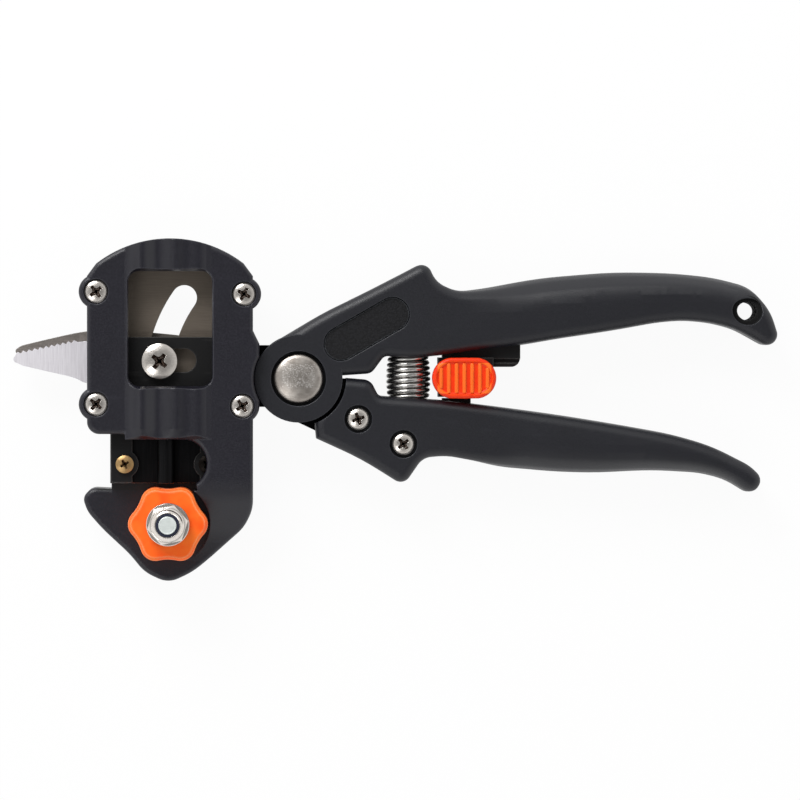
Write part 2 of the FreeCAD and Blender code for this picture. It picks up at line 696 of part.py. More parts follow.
# Upper handle
upper_handle_shares = [
    (-0.094, 0.086, 0.03), (0.072, 0.185), (0.175, 0.234), (0.300, 0.298), (0.358, 0.329, 0.03),
    (0.386, 0.268), (0.446, 0.243), (0.520, 0.252), (0.676, 0.281), (0.886, 0.298), (1.047, 0.295),
    (1.165, 0.283), (1.268, 0.256), (1.322, 0.190), (1.362, 0.062, 0.03), (1.220, 0.138),
    (1.154, 0.155), (1.079, 0.162), (1.006, 0.156), (0.886, 0.134), (0.725, 0.110),
    (0.623, 0.092), (0.507, 0.080), (0.403, 0.065), (0.317, 0.057), (0.240, 0.063, 0.02),
    (0.204, 0.014, 0.03), (0, 0, 0),
]
upper_handle = new_body("upper_handle")
upper_edges = outline(upper_handle_shares, size("grip_reach"))
pad(upper_handle, drawn(upper_handle, upper_edges), "handle_thickness")
rounded(upper_handle, level_edge("0", "handle_thickness"), "handle_round")
pad(upper_handle, circles(upper_handle, [PIVOT], "boss_radius", "frame_front"),
    "handle_thickness - frame_front")
# In front of the plates the handle is a shell; further out it wraps them
pocket(upper_handle, rectangle(upper_handle, "-2 * boss_radius", "handle_split", "-2 * boss_radius",
                               "3 * boss_radius", "frame_front"), "frame_front + overrun")
pocket(upper_handle, drawn(upper_handle, grown(tang_outline(), size("seat_gap")), "frame_front"),
       "plate_thickness")
pocket(upper_handle, circles(upper_handle, [PIVOT], "pivot_radius + thread_gap",
                             "handle_thickness + overrun"), "handle_thickness + 2 * overrun")
pocket(upper_handle, circles(upper_handle, [PIVOT], "pivot_sink_radius", "handle_thickness + overrun"),
       "handle_thickness + overrun - pivot_sink_floor")
inset_edges = stadium((size("inset_near_x"), size("inset_near_y")), (size("inset_far_x"), size("inset_far_y")),
                      size("inset_radius"))
pocket(upper_handle, drawn(upper_handle, grown(inset_edges, size("seat_gap")), "handle_thickness + overrun"),
       "inset_sink + overrun")
pocket(upper_handle, circles(upper_handle, TANG_SCREWS, "grip_head_radius + seat_gap",
                             "handle_thickness + overrun"), "handle_thickness + overrun - tang_sink_floor")
pocket(upper_handle, circles(upper_handle, TANG_SCREWS, "grip_screw_radius + thread_gap",
                             "handle_thickness + overrun"), "handle_thickness + 2 * overrun")
pocket(upper_handle, hexagons(upper_handle, TANG_SCREWS, "grip_nut_width + 2 * seat_gap", "-overrun"),
       "grip_nut_floor + overrun", upwards=True)
hang_hole_share = (1.256, 0.189)
HANG_HOLE = [tuple(f"{share} * grip_reach" for share in hang_hole_share)]
pocket(upper_handle, circles(upper_handle, HANG_HOLE, "hang_radius", "handle_thickness + overrun"),
       "handle_thickness + 2 * overrun")
pocket(upper_handle, circles(upper_handle, HANG_HOLE, "hang_sink_radius", "handle_thickness + overrun"),
       "hang_sink_depth + overrun")
pocket(upper_handle, rectangle(upper_handle, "rail_left - seat_gap", "rail_right + seat_gap", "0",
                               "rail_top", "rail_front + seat_gap"),
       "rail_front - rail_back + 2 * seat_gap")
keep(upper_handle)


# Lower handle
lower_handle_shares = [
    (0.118, 0.002, 0), (0.202, -0.005, 0.03), (0.224, -0.049, 0.02), (0.300, -0.055), (0.403, -0.061),
    (0.564, -0.080), (0.725, -0.102), (0.886, -0.128), (1.047, -0.157), (1.160, -0.190), (1.265, -0.244),
    (1.302, -0.282, 0.03), (1.272, -0.330, 0.03), (1.197, -0.284), (1.127, -0.266), (0.993, -0.258),
    (0.832, -0.266), (0.725, -0.263), (0.564, -0.249), (0.486, -0.230), (0.415, -0.216), (0.348, -0.222, 0.05),
    (0.294, -0.300, 0.03), (0.175, -0.225), (0.050, -0.168, 0), (0.045, -0.120, 0),
]
lower_handle = new_body("lower_handle")
pad(lower_handle, drawn(lower_handle, outline(lower_handle_shares, size("grip_reach"))), "handle_thickness")
rounded(lower_handle, level_edge("0", "handle_thickness"), "handle_round")
pocket(lower_handle, circles(lower_handle, [PIVOT], "boss_clear_radius", "handle_thickness + overrun"),
       "handle_thickness + 2 * overrun")
pocket(lower_handle, drawn(lower_handle, grown(lever_tang, size("seat_gap")), LEVER_FRONT),
       "plate_thickness")
pocket(lower_handle, circles(lower_handle, GRIP_SCREWS, "grip_sink_radius", "handle_thickness + overrun"),
       "handle_thickness + overrun - grip_sink_floor")
pocket(lower_handle, circles(lower_handle, GRIP_SCREWS, "grip_screw_radius + thread_gap",
                             "handle_thickness + overrun"), "handle_thickness + 2 * overrun")
pocket(lower_handle, hexagons(lower_handle, GRIP_SCREWS, "grip_nut_width + 2 * seat_gap", "-overrun"),
       "grip_nut_floor + overrun", upwards=True)
pocket(lower_handle, rectangle(lower_handle, "keeper_left - seat_gap", "keeper_right + seat_gap",
                               "keeper_root", "0", "rail_front + seat_gap"),
       "rail_front - rail_back + 2 * seat_gap")
keep(lower_handle)


# Round recesses for the spring's seats, cut along Y into both handles
def seat_recess(body, face, towards):
    sketch = new_sketch(body, "XZ_Plane", f"-({face})")
    centre = Vector(size("spring_x"), size("spring_height"), 0)
    sketch.addGeometry(Part.Circle(centre, Vector(0, 0, 1), size("seat_bore_radius")), False)
    tie(sketch, "DistanceX", 0, 3, "spring_x")
    tie(sketch, "DistanceY", 0, 3, "spring_height")
    place = sketch.addConstraint(Sketcher.Constraint("Radius", 0, size("seat_bore_radius")))
    sketch.setExpression(f"Constraints[{place}]", bound("seat_bore_radius"))
    pocket(body, sketch, "spring_top_y - spring_bottom_y", upwards=towards)


seat_recess(upper_handle, "spring_top_y + seat_thickness", True)
seat_recess(lower_handle, "spring_bottom_y - seat_thickness", False)


def spring_seat(label, face, outward):
    """A disc in the handle's recess with a peg that stands inside the spring."""
    disc = doc.addObject("Part::Cylinder", label + "_disc")
    disc.setExpression("Radius", bound("seat_radius"))
    disc.setExpression("Height", bound("seat_thickness"))
    peg = doc.addObject("Part::Cylinder", label + "_peg")
    peg.setExpression("Radius", bound("seat_peg_radius"))
    peg.setExpression("Height", bound("seat_peg_length + seat_thickness"))
    for piece, length in ((disc, "seat_thickness"), (peg, "seat_peg_length + seat_thickness")):
        piece.Placement.Rotation = FreeCAD.Rotation(Vector(1, 0, 0), -90 * outward)
        piece.setExpression("Placement.Base.x", bound("spring_x"))
        piece.setExpression("Placement.Base.z", bound("spring_height"))
        piece.setExpression("Placement.Base.y", bound(f"{face} - {outward} * seat_thickness"))
    seat = doc.addObject("Part::MultiFuse", label)
    seat.Shapes = [disc, peg]
    return keep(named(seat, label))


spring_seat("spring_seat_upper", "spring_top_y", -1)
spring_seat("spring_seat_lower", "spring_bottom_y", 1)


# Head casting: cover, column and lower jaw in one
# The jaw's corners across, from the wheel's axis to the column's side or to the nose, and down from its face
jaw_shares = [
    (0.895, -0.398), (0.473, -0.742), (0.283, -0.879), (-0.003, -1.0), (-0.288, -0.879), (-0.453, -0.692),
    (-0.784, -0.415), (-0.962, -0.231), (-1.018, -0.078), (-0.911, 0.025), (-0.390, 0.002), (0.346, 0, 0),
]
casting = new_body("head_casting")


def throat_point(degrees):
    x, y = polar(size("throat_radius"), degrees)
    return Vector(size("throat_x") + x, size("throat_y") + y, 0)


def jaw_outline():
    """Column and lower jaw, closed by the throat's round end."""
    right = size("cover_right")
    axis = size("wheel_x")
    to_nose = size("head_reach + wheel_x")
    face = size("throat_y - throat_radius - throat_lip")
    depth = size("jaw_depth")
    corners = [(right, size("column_top"), 0), (right, size("column_foot"))]
    for across, down, *rest in jaw_shares:
        span = right - axis if across > 0 else to_nose
        corners.append((axis + across * span, face + down * depth, *rest))
    edges = outline(corners)
    foot = throat_point(-55)
    crown = throat_point(90)
    top = size("column_top")
    start = edges[-1].EndPoint
    edges[-1] = Part.LineSegment(edges[-1].StartPoint, foot)
    return edges, foot, crown, top, start


def column_edges():
    edges, foot, crown, top, start = jaw_outline()
    high = Vector(crown.x, top, 0)
    edges.append(Part.Arc(foot, throat_point(18), crown))
    edges.append(Part.LineSegment(crown, high))
    edges.append(Part.LineSegment(high, start))
    return edges


pad(casting, drawn(casting, column_edges(), "0"), "cover_front")
sill_foot = "throat_y - throat_radius - 3 * throat_lip"
sill_right = "throat_x + 0.85 * throat_radius"
pad(casting, rectangle(casting, "carrier_left + fit_gap", sill_right, sill_foot, "sill_top", "0"), "frame_front")
ramp = [
    ("ramp_start", "cover_front", "0"), ("ramp_high_y", "cover_front", "ramp_round"),
    ("ramp_low_y", "frame_front", "ramp_round"), ("-1.1 * head_reach", "frame_front", "0"),
    ("-1.1 * head_reach", "cover_front + overrun", "0"), ("ramp_start", "cover_front + overrun", "0"),
]
ramp_edges = outline([tuple(size(value) for value in corner) for corner in ramp])
pocket(casting, drawn(casting, ramp_edges, "0", "YZ_Plane"), "1.2 * head_reach")
wheel_room = "lobe_radius + 2 * fit_gap"
pocket(casting, circles(casting, [WHEEL], wheel_room, "cover_front + overrun"),
       "cover_front + overrun - frame_front")
pocket(casting, rectangle(casting, "-1.1 * head_reach", "wheel_x", "-head_reach", "throat_y",
                          "cover_front + overrun"), "cover_front + overrun - frame_front")
cover_foot = [
    ("cover_left", "cover_shoulder - shoulder_cut", "0"), ("cover_left", "channel_bottom", "cover_corner"),
    ("wheel_x - 2 * throat_radius", "channel_bottom", "cover_corner"),
    ("throat_x - throat_radius / 2", "throat_y + throat_radius", "0"),
    ("throat_x", "throat_y + throat_radius", "0"), ("cover_right", "throat_y + throat_radius", "0"),
    ("cover_right", "cover_shoulder - shoulder_cut", "0"),
]
foot_edges = outline([tuple(size(value) for value in corner) for corner in cover_foot])
pad(casting, drawn(casting, foot_edges, "frame_front"), "cover_front - frame_front")
pad(casting, drawn(casting, dome_outline(0, size("cover_shoulder - screw_boss_radius")), "frame_front"),
    "cover_front - frame_front")
for boss in COVER_SCREWS:
    pad(casting, circles(casting, [boss], "screw_boss_radius", "frame_front"), "cover_front - frame_front")
collar = [
    ("screw_right_upper_x", "collar_shoulder"), ("cover_right", "collar_shoulder"),
    ("collar_right", "collar_top"), ("collar_right", "screw_lower_right_y"),
    ("screw_right_upper_x", "screw_lower_right_y"),
]
pad(casting, polygon(casting, collar, "frame_front"), "cover_front - frame_front")
pocket(casting, circles(casting, [PIVOT], "boss_radius + seat_gap", "cover_front + overrun"),
       "cover_front - frame_front + overrun")


def outer_rim_edge(edge):
    """The front rim, apart from the throat's round end and the break above the slope."""
    box = edge.BoundBox
    in_throat = (
        box.XMin > size("throat_x - throat_radius / 4")
        and box.XMax < size("throat_x + 1.1 * throat_radius")
        and box.YMax < size("channel_bottom")
    )
    above_slope = box.YMax > size("ramp_high_y + thread_gap")
    return level_edge("cover_front")(edge) and above_slope and not in_throat


rounded(casting, outer_rim_edge, "edge_round")

# Raised band down the cover: a flat floor between two soft crests, as long as the cover
band_middle = "(channel_left + channel_right) / 2"
band_floor = "channel_front - groove_depth"
band = [
    ("channel_left", "cavity_roof", "0"), ("channel_left", "cover_front", "0"),
    ("channel_left + crest_inset", "channel_front", "crest_round"),
    (f"{band_middle} - groove_width / 2", band_floor, "2 * crest_round"),
    (f"{band_middle} + groove_width / 2", band_floor, "2 * crest_round"),
    ("channel_right - crest_inset", "channel_front", "crest_round"),
    ("channel_right", "cover_front", "0"), ("channel_right", "cavity_roof", "0"),
]
band_foot = "throat_y + throat_radius"
band_edges = outline([tuple(size(value) for value in corner) for corner in band])
band_length = f"dome_top + overrun - ({band_foot})"
pad(casting, drawn(casting, band_edges, f"-({band_foot})", "XZ_Plane"), f"-({band_length})")
run_out_end = f"{band_foot} + channel_run_out"
run_out = [
    (f"{band_foot} - overrun", "cover_front"), (band_foot, "cover_front"),
    (run_out_end, "channel_front"), (run_out_end, "channel_front + overrun"),
    (f"{band_foot} - overrun", "channel_front + overrun"),
]
pocket(casting, polygon(casting, run_out, "-1.1 * head_reach", "YZ_Plane"), "1.2 * head_reach", upwards=True)


def outside_the_dome():
    """The ground beyond the dome's arc, out to a square frame, which trims the band's upper end."""
    arc = dome_outline(size("thread_gap"), 0)[3]
    far = size("head_reach")
    right, left = arc.StartPoint, arc.EndPoint
    frame = [right, Vector(right.x, far, 0), Vector(left.x, far, 0), left]
    return [Part.LineSegment(one, other) for one, other in zip(frame, frame[1:])] + [
        Part.Arc(left, Vector((left.x + right.x) / 2, size("dome_top - thread_gap"), 0), right)]


pocket(casting, drawn(casting, outside_the_dome(), "channel_front + overrun"),
       "channel_front - cavity_roof + overrun")
carrier_right = "carrier_left + carrier_width"
pocket(casting, rectangle(casting, "carrier_left - fit_gap", f"{carrier_right} + fit_gap",
                          "carrier_foot - 3 * fit_gap", "window_top", "frame_front"),
       "cavity_roof - frame_front", upwards=True)
window = [
    ("window_left", "window_bottom"), ("window_right", "window_bottom"),
    ("window_right", "window_top"), ("window_left", "window_top"),
]
window_edges = outline([(size(x), size(y), size("window_corner")) for x, y in window])
pocket(casting, drawn(casting, window_edges, "channel_front + overrun"),
       "channel_front + overrun - frame_front")
drafted = "channel_front - cover_front + window_draft"
window_rim = pocket(casting, drawn(casting, grown(window_edges, size("window_draft")), "channel_front"), drafted)
window_rim.setExpression("TaperAngle", bound(f"-atan(window_draft / ({drafted}))"))
doc.recompute()
pocket(casting, circles(casting, COVER_SCREWS, "screw_sink_radius", "cover_front + overrun"),
       "screw_sink_depth + overrun")
pocket(casting, circles(casting, COVER_SCREWS, "screw_radius + thread_gap", "cover_front + overrun"),
       "cover_front - frame_front + 2 * overrun")
pocket(casting, circles(casting, [WHEEL], "axle_radius + thread_gap", "frame_front + overrun"),
       "frame_front + 2 * overrun")
pocket(casting, hexagons(casting, [WHEEL], "axle_head_width + 2 * seat_gap", "-overrun"),
       "axle_head_height + axle_head_sink + overrun", upwards=True)
keep(casting)


# Blade carrier: a block with the cross slot and two legs for the blade
carrier = new_body("blade_carrier")
pad(carrier, rectangle(carrier, "carrier_left", carrier_right, "carrier_step", "carrier_top", CARRIER_BACK),
    "carrier_thickness")
for left, right in (("carrier_left", "carrier_left + leg_width"), (f"{carrier_right} - leg_width", carrier_right)):
    pad(carrier, rectangle(carrier, left, right, "carrier_foot", "carrier_step", CARRIER_BACK), "leg_thickness")
slot_half = size("cam_roller_radius + fit_gap")
cross_slot_y = size(CAM_PIN[1] + " + seat_gap")
cross_slot_left = size("-cam_reach - seat_gap")
cross_slot_right = size("-cam_reach * cos(cam_rest_angle + cam_travel_angle) + fit_gap")
cross_slot = stadium((cross_slot_left, cross_slot_y), (cross_slot_right, cross_slot_y), slot_half)
pocket(carrier, drawn(carrier, cross_slot, CARRIER_FRONT + " + overrun"), "carrier_thickness + 2 * overrun")
pocket(carrier, circles(carrier, BLADE_SCREWS, "blade_screw_radius + thread_gap",
                        CARRIER_FRONT + " + overrun"), "carrier_thickness + 2 * overrun")
keep(carrier)


# Omega blade: one strip of sheet with a loop in its middle, seen along the cut
def omega_profile():
    sheet_back = size(BLADE_BACK)
    sheet_front = sheet_back + size("blade_thickness")
    left = size("carrier_left + fit_gap")
    right = size("carrier_left + carrier_width - fit_gap")
    middle = (left + right) / 2
    outer = size("blade_loop_radius")
    inner = outer - size("blade_thickness")
    neck_in = size("blade_neck") / 2
    neck_out = neck_in + size("blade_thickness")
    centre = sheet_back + size("blade_loop_height")
    inner_low = centre - math.sqrt(inner**2 - neck_in**2)
    outer_low = centre - math.sqrt(outer**2 - neck_out**2)

    def at(x, z):
        return Vector(middle + x, z, 0)

    return [
        Part.LineSegment(Vector(left, sheet_back, 0), at(-neck_in, sheet_back)),
        Part.LineSegment(at(-neck_in, sheet_back), at(-neck_in, inner_low)),
        Part.Arc(at(-neck_in, inner_low), at(0, centre + inner), at(neck_in, inner_low)),
        Part.LineSegment(at(neck_in, inner_low), at(neck_in, sheet_back)),
        Part.LineSegment(at(neck_in, sheet_back), Vector(right, sheet_back, 0)),
        Part.LineSegment(Vector(right, sheet_back, 0), Vector(right, sheet_front, 0)),
        Part.LineSegment(Vector(right, sheet_front, 0), at(neck_out, sheet_front)),
        Part.LineSegment(at(neck_out, sheet_front), at(neck_out, outer_low)),
        Part.Arc(at(neck_out, outer_low), at(0, centre + outer), at(-neck_out, outer_low)),
        Part.LineSegment(at(-neck_out, outer_low), at(-neck_out, sheet_front)),
        Part.LineSegment(at(-neck_out, sheet_front), Vector(left, sheet_front, 0)),
        Part.LineSegment(Vector(left, sheet_front, 0), Vector(left, sheet_back, 0)),
    ]


blade = new_body("omega_blade")
blade_sketch = drawn(blade, omega_profile(), "-(carrier_step - thread_gap)", "XZ_Plane")
pad(blade, blade_sketch, "carrier_step - thread_gap - blade_edge")
pocket(blade, circles(blade, BLADE_SCREWS, "blade_screw_radius + thread_gap",
                      BLADE_BACK + " + blade_thickness + overrun"), "blade_thickness + 2 * overrun")
keep(blade)

clamps = []
for side, place in zip((1, -1), BLADE_SCREWS):
    edge = "carrier_left + fit_gap" if side > 0 else f"{carrier_right} - fit_gap"
    far = f"{edge} + {side} * (clamp_width - fit_gap)"
    low, high = (edge, far) if side > 0 else (far, edge)
    clamp = new_body(f"blade_clamp_{'left' if side > 0 else 'right'}")
    clamp_base = BLADE_BACK + " + blade_thickness"
    pad(clamp, rectangle(clamp, low, high, "carrier_foot + fit_gap", "carrier_step - fit_gap", clamp_base),
        "clamp_thickness")
    pad(clamp, circles(clamp, [place], "blade_head_radius + clamp_margin", clamp_base),
        "clamp_thickness")
    pocket(clamp, circles(clamp, [place], "blade_screw_radius + thread_gap",
                          clamp_base + " + clamp_thickness + overrun"), "clamp_thickness + 2 * overrun")
    clamps.append(clamp)
keep(group("blade_clamps", clamps))

blade_screw_seat = BLADE_BACK + " + blade_thickness + clamp_thickness"
blade_screws = []
for number, place in enumerate(BLADE_SCREWS):
    steps = [
        ("blade_screw_radius", CARRIER_BACK, blade_screw_seat),
        ("blade_head_radius", blade_screw_seat, blade_screw_seat + " + blade_head_height"),
    ]
    recess = ("blade_head_radius", blade_screw_seat + " + blade_head_height", "blade_head_height / 2")
    blade_screws.append(stacked_screw(f"blade_screw{number}", place, steps, recess))
keep(group("blade_screws", blade_screws))


# Cam pin: screw, roller and nut on the lever
cam_head_seat = CARRIER_FRONT + " + fit_gap"
cam_screw_steps = [
    ("cam_screw_radius", "lever_back - cam_nut_height - thread_gap", cam_head_seat),
    ("cam_head_radius", cam_head_seat, cam_head_seat + " + cam_head_height"),
]
cam_recess = ("0.8 * cam_head_radius", cam_head_seat + " + cam_head_height", "cam_head_height / 2")
keep(named(stacked_screw("cam_screw", CAM_PIN, cam_screw_steps, cam_recess), "cam_screw"))

cam_roller = new_body("cam_roller")
pad(cam_roller, circles(cam_roller, [CAM_PIN], "cam_roller_radius", LEVER_FRONT),
    f"{cam_head_seat} - ({LEVER_FRONT})")
pocket(cam_roller, circles(cam_roller, [CAM_PIN], "cam_screw_radius + thread_gap",
                           cam_head_seat + " + overrun"), f"{cam_head_seat} - ({LEVER_FRONT}) + 2 * overrun")
keep(cam_roller)


def nut(label, places, width, bore, low, height):
    """Hexagon nuts at several places, as one sub-part."""
    nuts = []
    for number, place in enumerate(places):
        name = label if len(places) == 1 else f"{label}_{number}"
        body = new_body(name)
        pad(body, hexagons(body, [place], width, low), height)
        pocket(body, circles(body, [place], bore, f"{low} + {height} + overrun"), f"{height} + 2 * overrun")
        nuts.append(body)
    return keep(nuts[0] if len(nuts) == 1 else group(label, nuts))


nut("cam_nut", [CAM_PIN], "cam_nut_width", "cam_screw_radius + thread_gap",
    "lever_back - cam_nut_height", "cam_nut_height")


# Handle screws and nuts
for label, places, floor in (("tang", TANG_SCREWS, "tang_sink_floor"), ("grip", GRIP_SCREWS, "grip_sink_floor")):
    screws = []
    for number, place in enumerate(places):
        steps = [
            ("grip_screw_radius", "grip_nut_floor - grip_nut_height", floor),
            ("grip_head_radius", floor, f"{floor} + grip_head_height"),
        ]
        recess = ("grip_head_radius", f"{floor} + grip_head_height", "grip_head_height / 2")
        screws.append(stacked_screw(f"{label}_screw{number}", place, steps, recess))
    keep(group(f"{label}_screws", screws))
    nut(f"{label}_nuts", places, "grip_nut_width", "grip_screw_radius + thread_gap",
        "grip_nut_floor - grip_nut_height", "grip_nut_height")


# Cover screws
cover_screws = []
for number, place in enumerate(COVER_SCREWS):
    floor = "cover_front - screw_sink_depth"
    steps = [
        ("screw_radius", "frame_back + seat_gap", floor),
        ("screw_head_radius", floor, f"{floor} + screw_head_height"),
    ]
    recess = ("screw_head_radius", f"{floor} + screw_head_height", "screw_head_height / 2")
    cover_screws.append(stacked_screw(f"cover_screw{number}", place, steps, recess))
keep(group("cover_screws", cover_screws))


# Pivot: domed bolt from the front, washer and nut behind
shank = doc.addObject("Part::Cylinder", "pivot_shank")
shank.setExpression("Radius", bound("pivot_radius"))
shank.setExpression("Height", bound("pivot_sink_floor"))
dome_disc = doc.addObject("Part::Cylinder", "pivot_head_disc")
dome_disc.setExpression("Radius", bound("pivot_head_radius"))
dome_disc.setExpression("Height", bound("pivot_head_height"))
dome_disc.setExpression("Placement.Base.z", bound("pivot_sink_floor"))
dome_ball = doc.addObject("Part::Sphere", "pivot_head_ball")
dome_ball.setExpression("Radius", bound("pivot_dome_radius"))
dome_ball.setExpression("Placement.Base.z", bound("pivot_sink_floor + pivot_head_height - pivot_dome_radius"))
dome = doc.addObject("Part::Common", "pivot_head_dome")
dome.Base = dome_disc
dome.Tool = dome_ball
pivot_bolt = doc.addObject("Part::MultiFuse", "pivot_bolt")
pivot_bolt.Shapes = [shank, dome]
keep(named(pivot_bolt, "pivot_bolt"))

washer_low = "lever_back - pivot_washer_thickness"
pivot_washer = new_body("pivot_washer")
pad(pivot_washer, circles(pivot_washer, [PIVOT], "pivot_washer_radius", washer_low), "pivot_washer_thickness")
pocket(pivot_washer, circles(pivot_washer, [PIVOT], "pivot_radius + thread_gap", "lever_back + overrun"),
       "pivot_washer_thickness + 2 * overrun")
keep(pivot_washer)
nut("pivot_nut", [PIVOT], "pivot_nut_width", "pivot_radius + thread_gap", "0", washer_low)


# Oval cap on the upper handle, left bare
handle_inset = new_body("handle_inset")
pad(handle_inset, drawn(handle_inset, inset_edges, "handle_thickness - inset_sink"), "inset_thickness")
keep(handle_inset)


# Anvil: wheel, bolt, washer and locking nut
def wheel_outline():
    """A smooth ring of lobes: arcs over the lobes meet arcs through the valleys."""
    lobes = int(size("lobe_count"))
    high = size("lobe_radius")
    low = size("valley_radius")
    quarter = 90 / lobes
    edges = []

    def at(radius, angle):
        return Vector(*polar(radius, angle), 0) + Vector(size("wheel_x"), size("wheel_y"), 0)

    middle = (high + low) / 2
    for lobe in range(lobes):
        angle = 360 * lobe / lobes
        edges.append(Part.Arc(at(middle, angle - quarter), at(high, angle), at(middle, angle + quarter)))
        valley = angle + 2 * quarter
        edges.append(Part.Arc(at(middle, valley - quarter), at(low, valley), at(middle, valley + quarter)))
    return edges


wheel_low = "frame_front + fit_gap"
wheel_high = "frame_front + fit_gap + wheel_thickness"
wheel = new_body("anvil_wheel")
pad(wheel, drawn(wheel, wheel_outline(), wheel_low), "wheel_thickness")
bevelled(wheel, level_edge(wheel_low, wheel_high), "wheel_edge")
pocket(wheel, circles(wheel, [WHEEL], "axle_radius + spin_gap", wheel_high + " + overrun"),
       "wheel_thickness + 2 * overrun")
keep(wheel)

washer_base = wheel_high + " + fit_gap"
nut_base = washer_base + " + axle_washer_thickness"
collar_base = nut_base + " + axle_nut_height"
axle_top = collar_base + " + collar_height + axle_end"
head_low = "axle_head_sink"
axle_shank = doc.addObject("Part::Cylinder", "axle_shank")
axle_shank.setExpression("Radius", bound("axle_radius"))
axle_shank.setExpression("Height", bound(f"{axle_top} - ({head_low})"))
for coordinate, text in zip("xyz", (*WHEEL, head_low)):
    axle_shank.setExpression(f"Placement.Base.{coordinate}", bound(text))
axle_head = new_body("axle_head")
pad(axle_head, hexagons(axle_head, [WHEEL], "axle_head_width", head_low), "axle_head_height")
anvil_bolt = doc.addObject("Part::MultiFuse", "anvil_bolt")
anvil_bolt.Shapes = [axle_shank, axle_head]
keep(named(anvil_bolt, "anvil_bolt"))

anvil_washer = new_body("anvil_washer")
pad(anvil_washer, circles(anvil_washer, [WHEEL], "axle_washer_radius", washer_base), "axle_washer_thickness")
pocket(anvil_washer, circles(anvil_washer, [WHEEL], "axle_radius + thread_gap", nut_base + " + overrun"),
       "axle_washer_thickness + 2 * overrun")
keep(anvil_washer)
nut("anvil_nut", [WHEEL], "axle_head_width", "axle_radius + thread_gap", nut_base, "axle_nut_height")
nut_collar = new_body("nut_collar")
pad(nut_collar, circles(nut_collar, [WHEEL], "collar_radius", collar_base), "collar_height")
pocket(nut_collar, circles(nut_collar, [WHEEL], "axle_radius + thread_gap", axle_top + " + overrun"),
       "collar_height + axle_end + 2 * overrun")
keep(nut_collar)


# Lock: rail under the upper handle, slider round it, button in front, keeper on the lower handle
lock_rail = new_body("lock_rail")
pad(lock_rail, rectangle(lock_rail, "rail_left", "rail_right", "rail_bottom", "rail_top", "rail_back"),
    "rail_front - rail_back")


def rail_corner_edge(edge):
    box = edge.BoundBox
    upright = box.XLength < TOLERANCE and box.YLength < TOLERANCE
    at_right = abs(box.XMin - size("rail_right")) < TOLERANCE
    return upright and at_right and abs(box.YMin - size("rail_bottom")) < TOLERANCE


rounded(lock_rail, rail_corner_edge, "rail_corner")
for low in ("rail_front - rail_groove_depth", "rail_back"):
    pocket(lock_rail, rectangle(lock_rail, "rail_left - overrun", "rail_right + overrun", "rail_groove_low",
                                "rail_groove_high", low), "rail_groove_depth", upwards=True)
keep(lock_rail)

slider = new_body("lock_slider")
leg_back = "rail_back - fit_gap - slider_wall"
deck = "rail_bottom - fit_gap"
slider_section = [
    ("slider_top", leg_back), ("slider_top", "rail_back - fit_gap"),
    ("rail_groove_high - fit_gap / 2", "rail_back - fit_gap"),
    ("rail_groove_high - fit_gap / 2", "rail_back + rail_groove_depth - fit_gap"),
    ("rail_groove_low + fit_gap / 2", "rail_back + rail_groove_depth - fit_gap"),
    ("rail_groove_low + fit_gap / 2", "rail_back - fit_gap"),
    (deck, "rail_back - fit_gap"), (deck, "rail_front + fit_gap"),
    ("rail_groove_low + fit_gap / 2", "rail_front + fit_gap"),
    ("rail_groove_low + fit_gap / 2", "rail_front - rail_groove_depth + fit_gap"),
    ("rail_groove_high - fit_gap / 2", "rail_front - rail_groove_depth + fit_gap"),
    ("rail_groove_high - fit_gap / 2", "rail_front + fit_gap"),
    ("slider_top", "rail_front + fit_gap"), ("slider_top", "lock_back"),
    (f"{deck} - slider_floor", "lock_back"), (f"{deck} - slider_floor", leg_back),
]
pad(slider, polygon(slider, slider_section, "slider_left", "YZ_Plane"), "slider_right - slider_left")
arm_left = "slider_left"
arm_right = "slider_left + toe_arm_width"
pad(slider, rectangle(slider, arm_left, arm_right, "toe_bottom", f"{deck} - slider_floor", "rail_back"),
    "rail_front - rail_back")
pad(slider, rectangle(slider, arm_right, "slider_left + toe_reach", "toe_bottom", "toe_bottom + toe_thickness",
                      "rail_back"), "rail_front - rail_back")
keep(slider)

lock_half = size("(lock_length - lock_height) / 2")


def button_outline(rim):
    left = (size("lock_x") - lock_half, size("lock_y"))
    right = (size("lock_x") + lock_half, size("lock_y"))
    return stadium(left, right, size("lock_height / 2") - rim)


lock_button = new_body("lock_button")
button_front = "lock_back + lock_thickness"
pad(lock_button, drawn(lock_button, button_outline(0), "lock_back"), "lock_thickness")
pocket(lock_button, drawn(lock_button, button_outline(size("lock_rim")), button_front + " + overrun"),
       "lock_field_depth + overrun")
outermost = int(size("ridge_count")) // 2
for ridge in range(-outermost, outermost + 1):
    half = "ridge_end_half_length" if abs(ridge) == outermost else "ridge_half_length"
    middle = f"lock_x + {ridge} * ridge_pitch"
    pad(lock_button, rectangle(lock_button, f"{middle} - ridge_width / 2", f"{middle} + ridge_width / 2",
                               f"lock_y - {half}", f"lock_y + {half}", button_front + " - lock_field_depth"),
        "lock_field_depth")
keep(lock_button)

keeper = new_body("lock_keeper")
nib_low = "toe_bottom + toe_thickness + fit_gap"
keeper_section = [
    ("keeper_left", "keeper_root"), ("keeper_right", "keeper_root"),
    ("keeper_right", f"{nib_low} + keeper_nib_thickness"),
    ("keeper_right - keeper_nib_reach", f"{nib_low} + keeper_nib_thickness"),
    ("keeper_right - keeper_nib_reach", nib_low), ("keeper_right - keeper_stem_width", nib_low),
    ("keeper_right - keeper_stem_width", "keeper_deck"), ("keeper_left", "keeper_deck"),
]
pad(keeper, polygon(keeper, keeper_section, "rail_back"), "rail_front - rail_back")
keep(keeper)


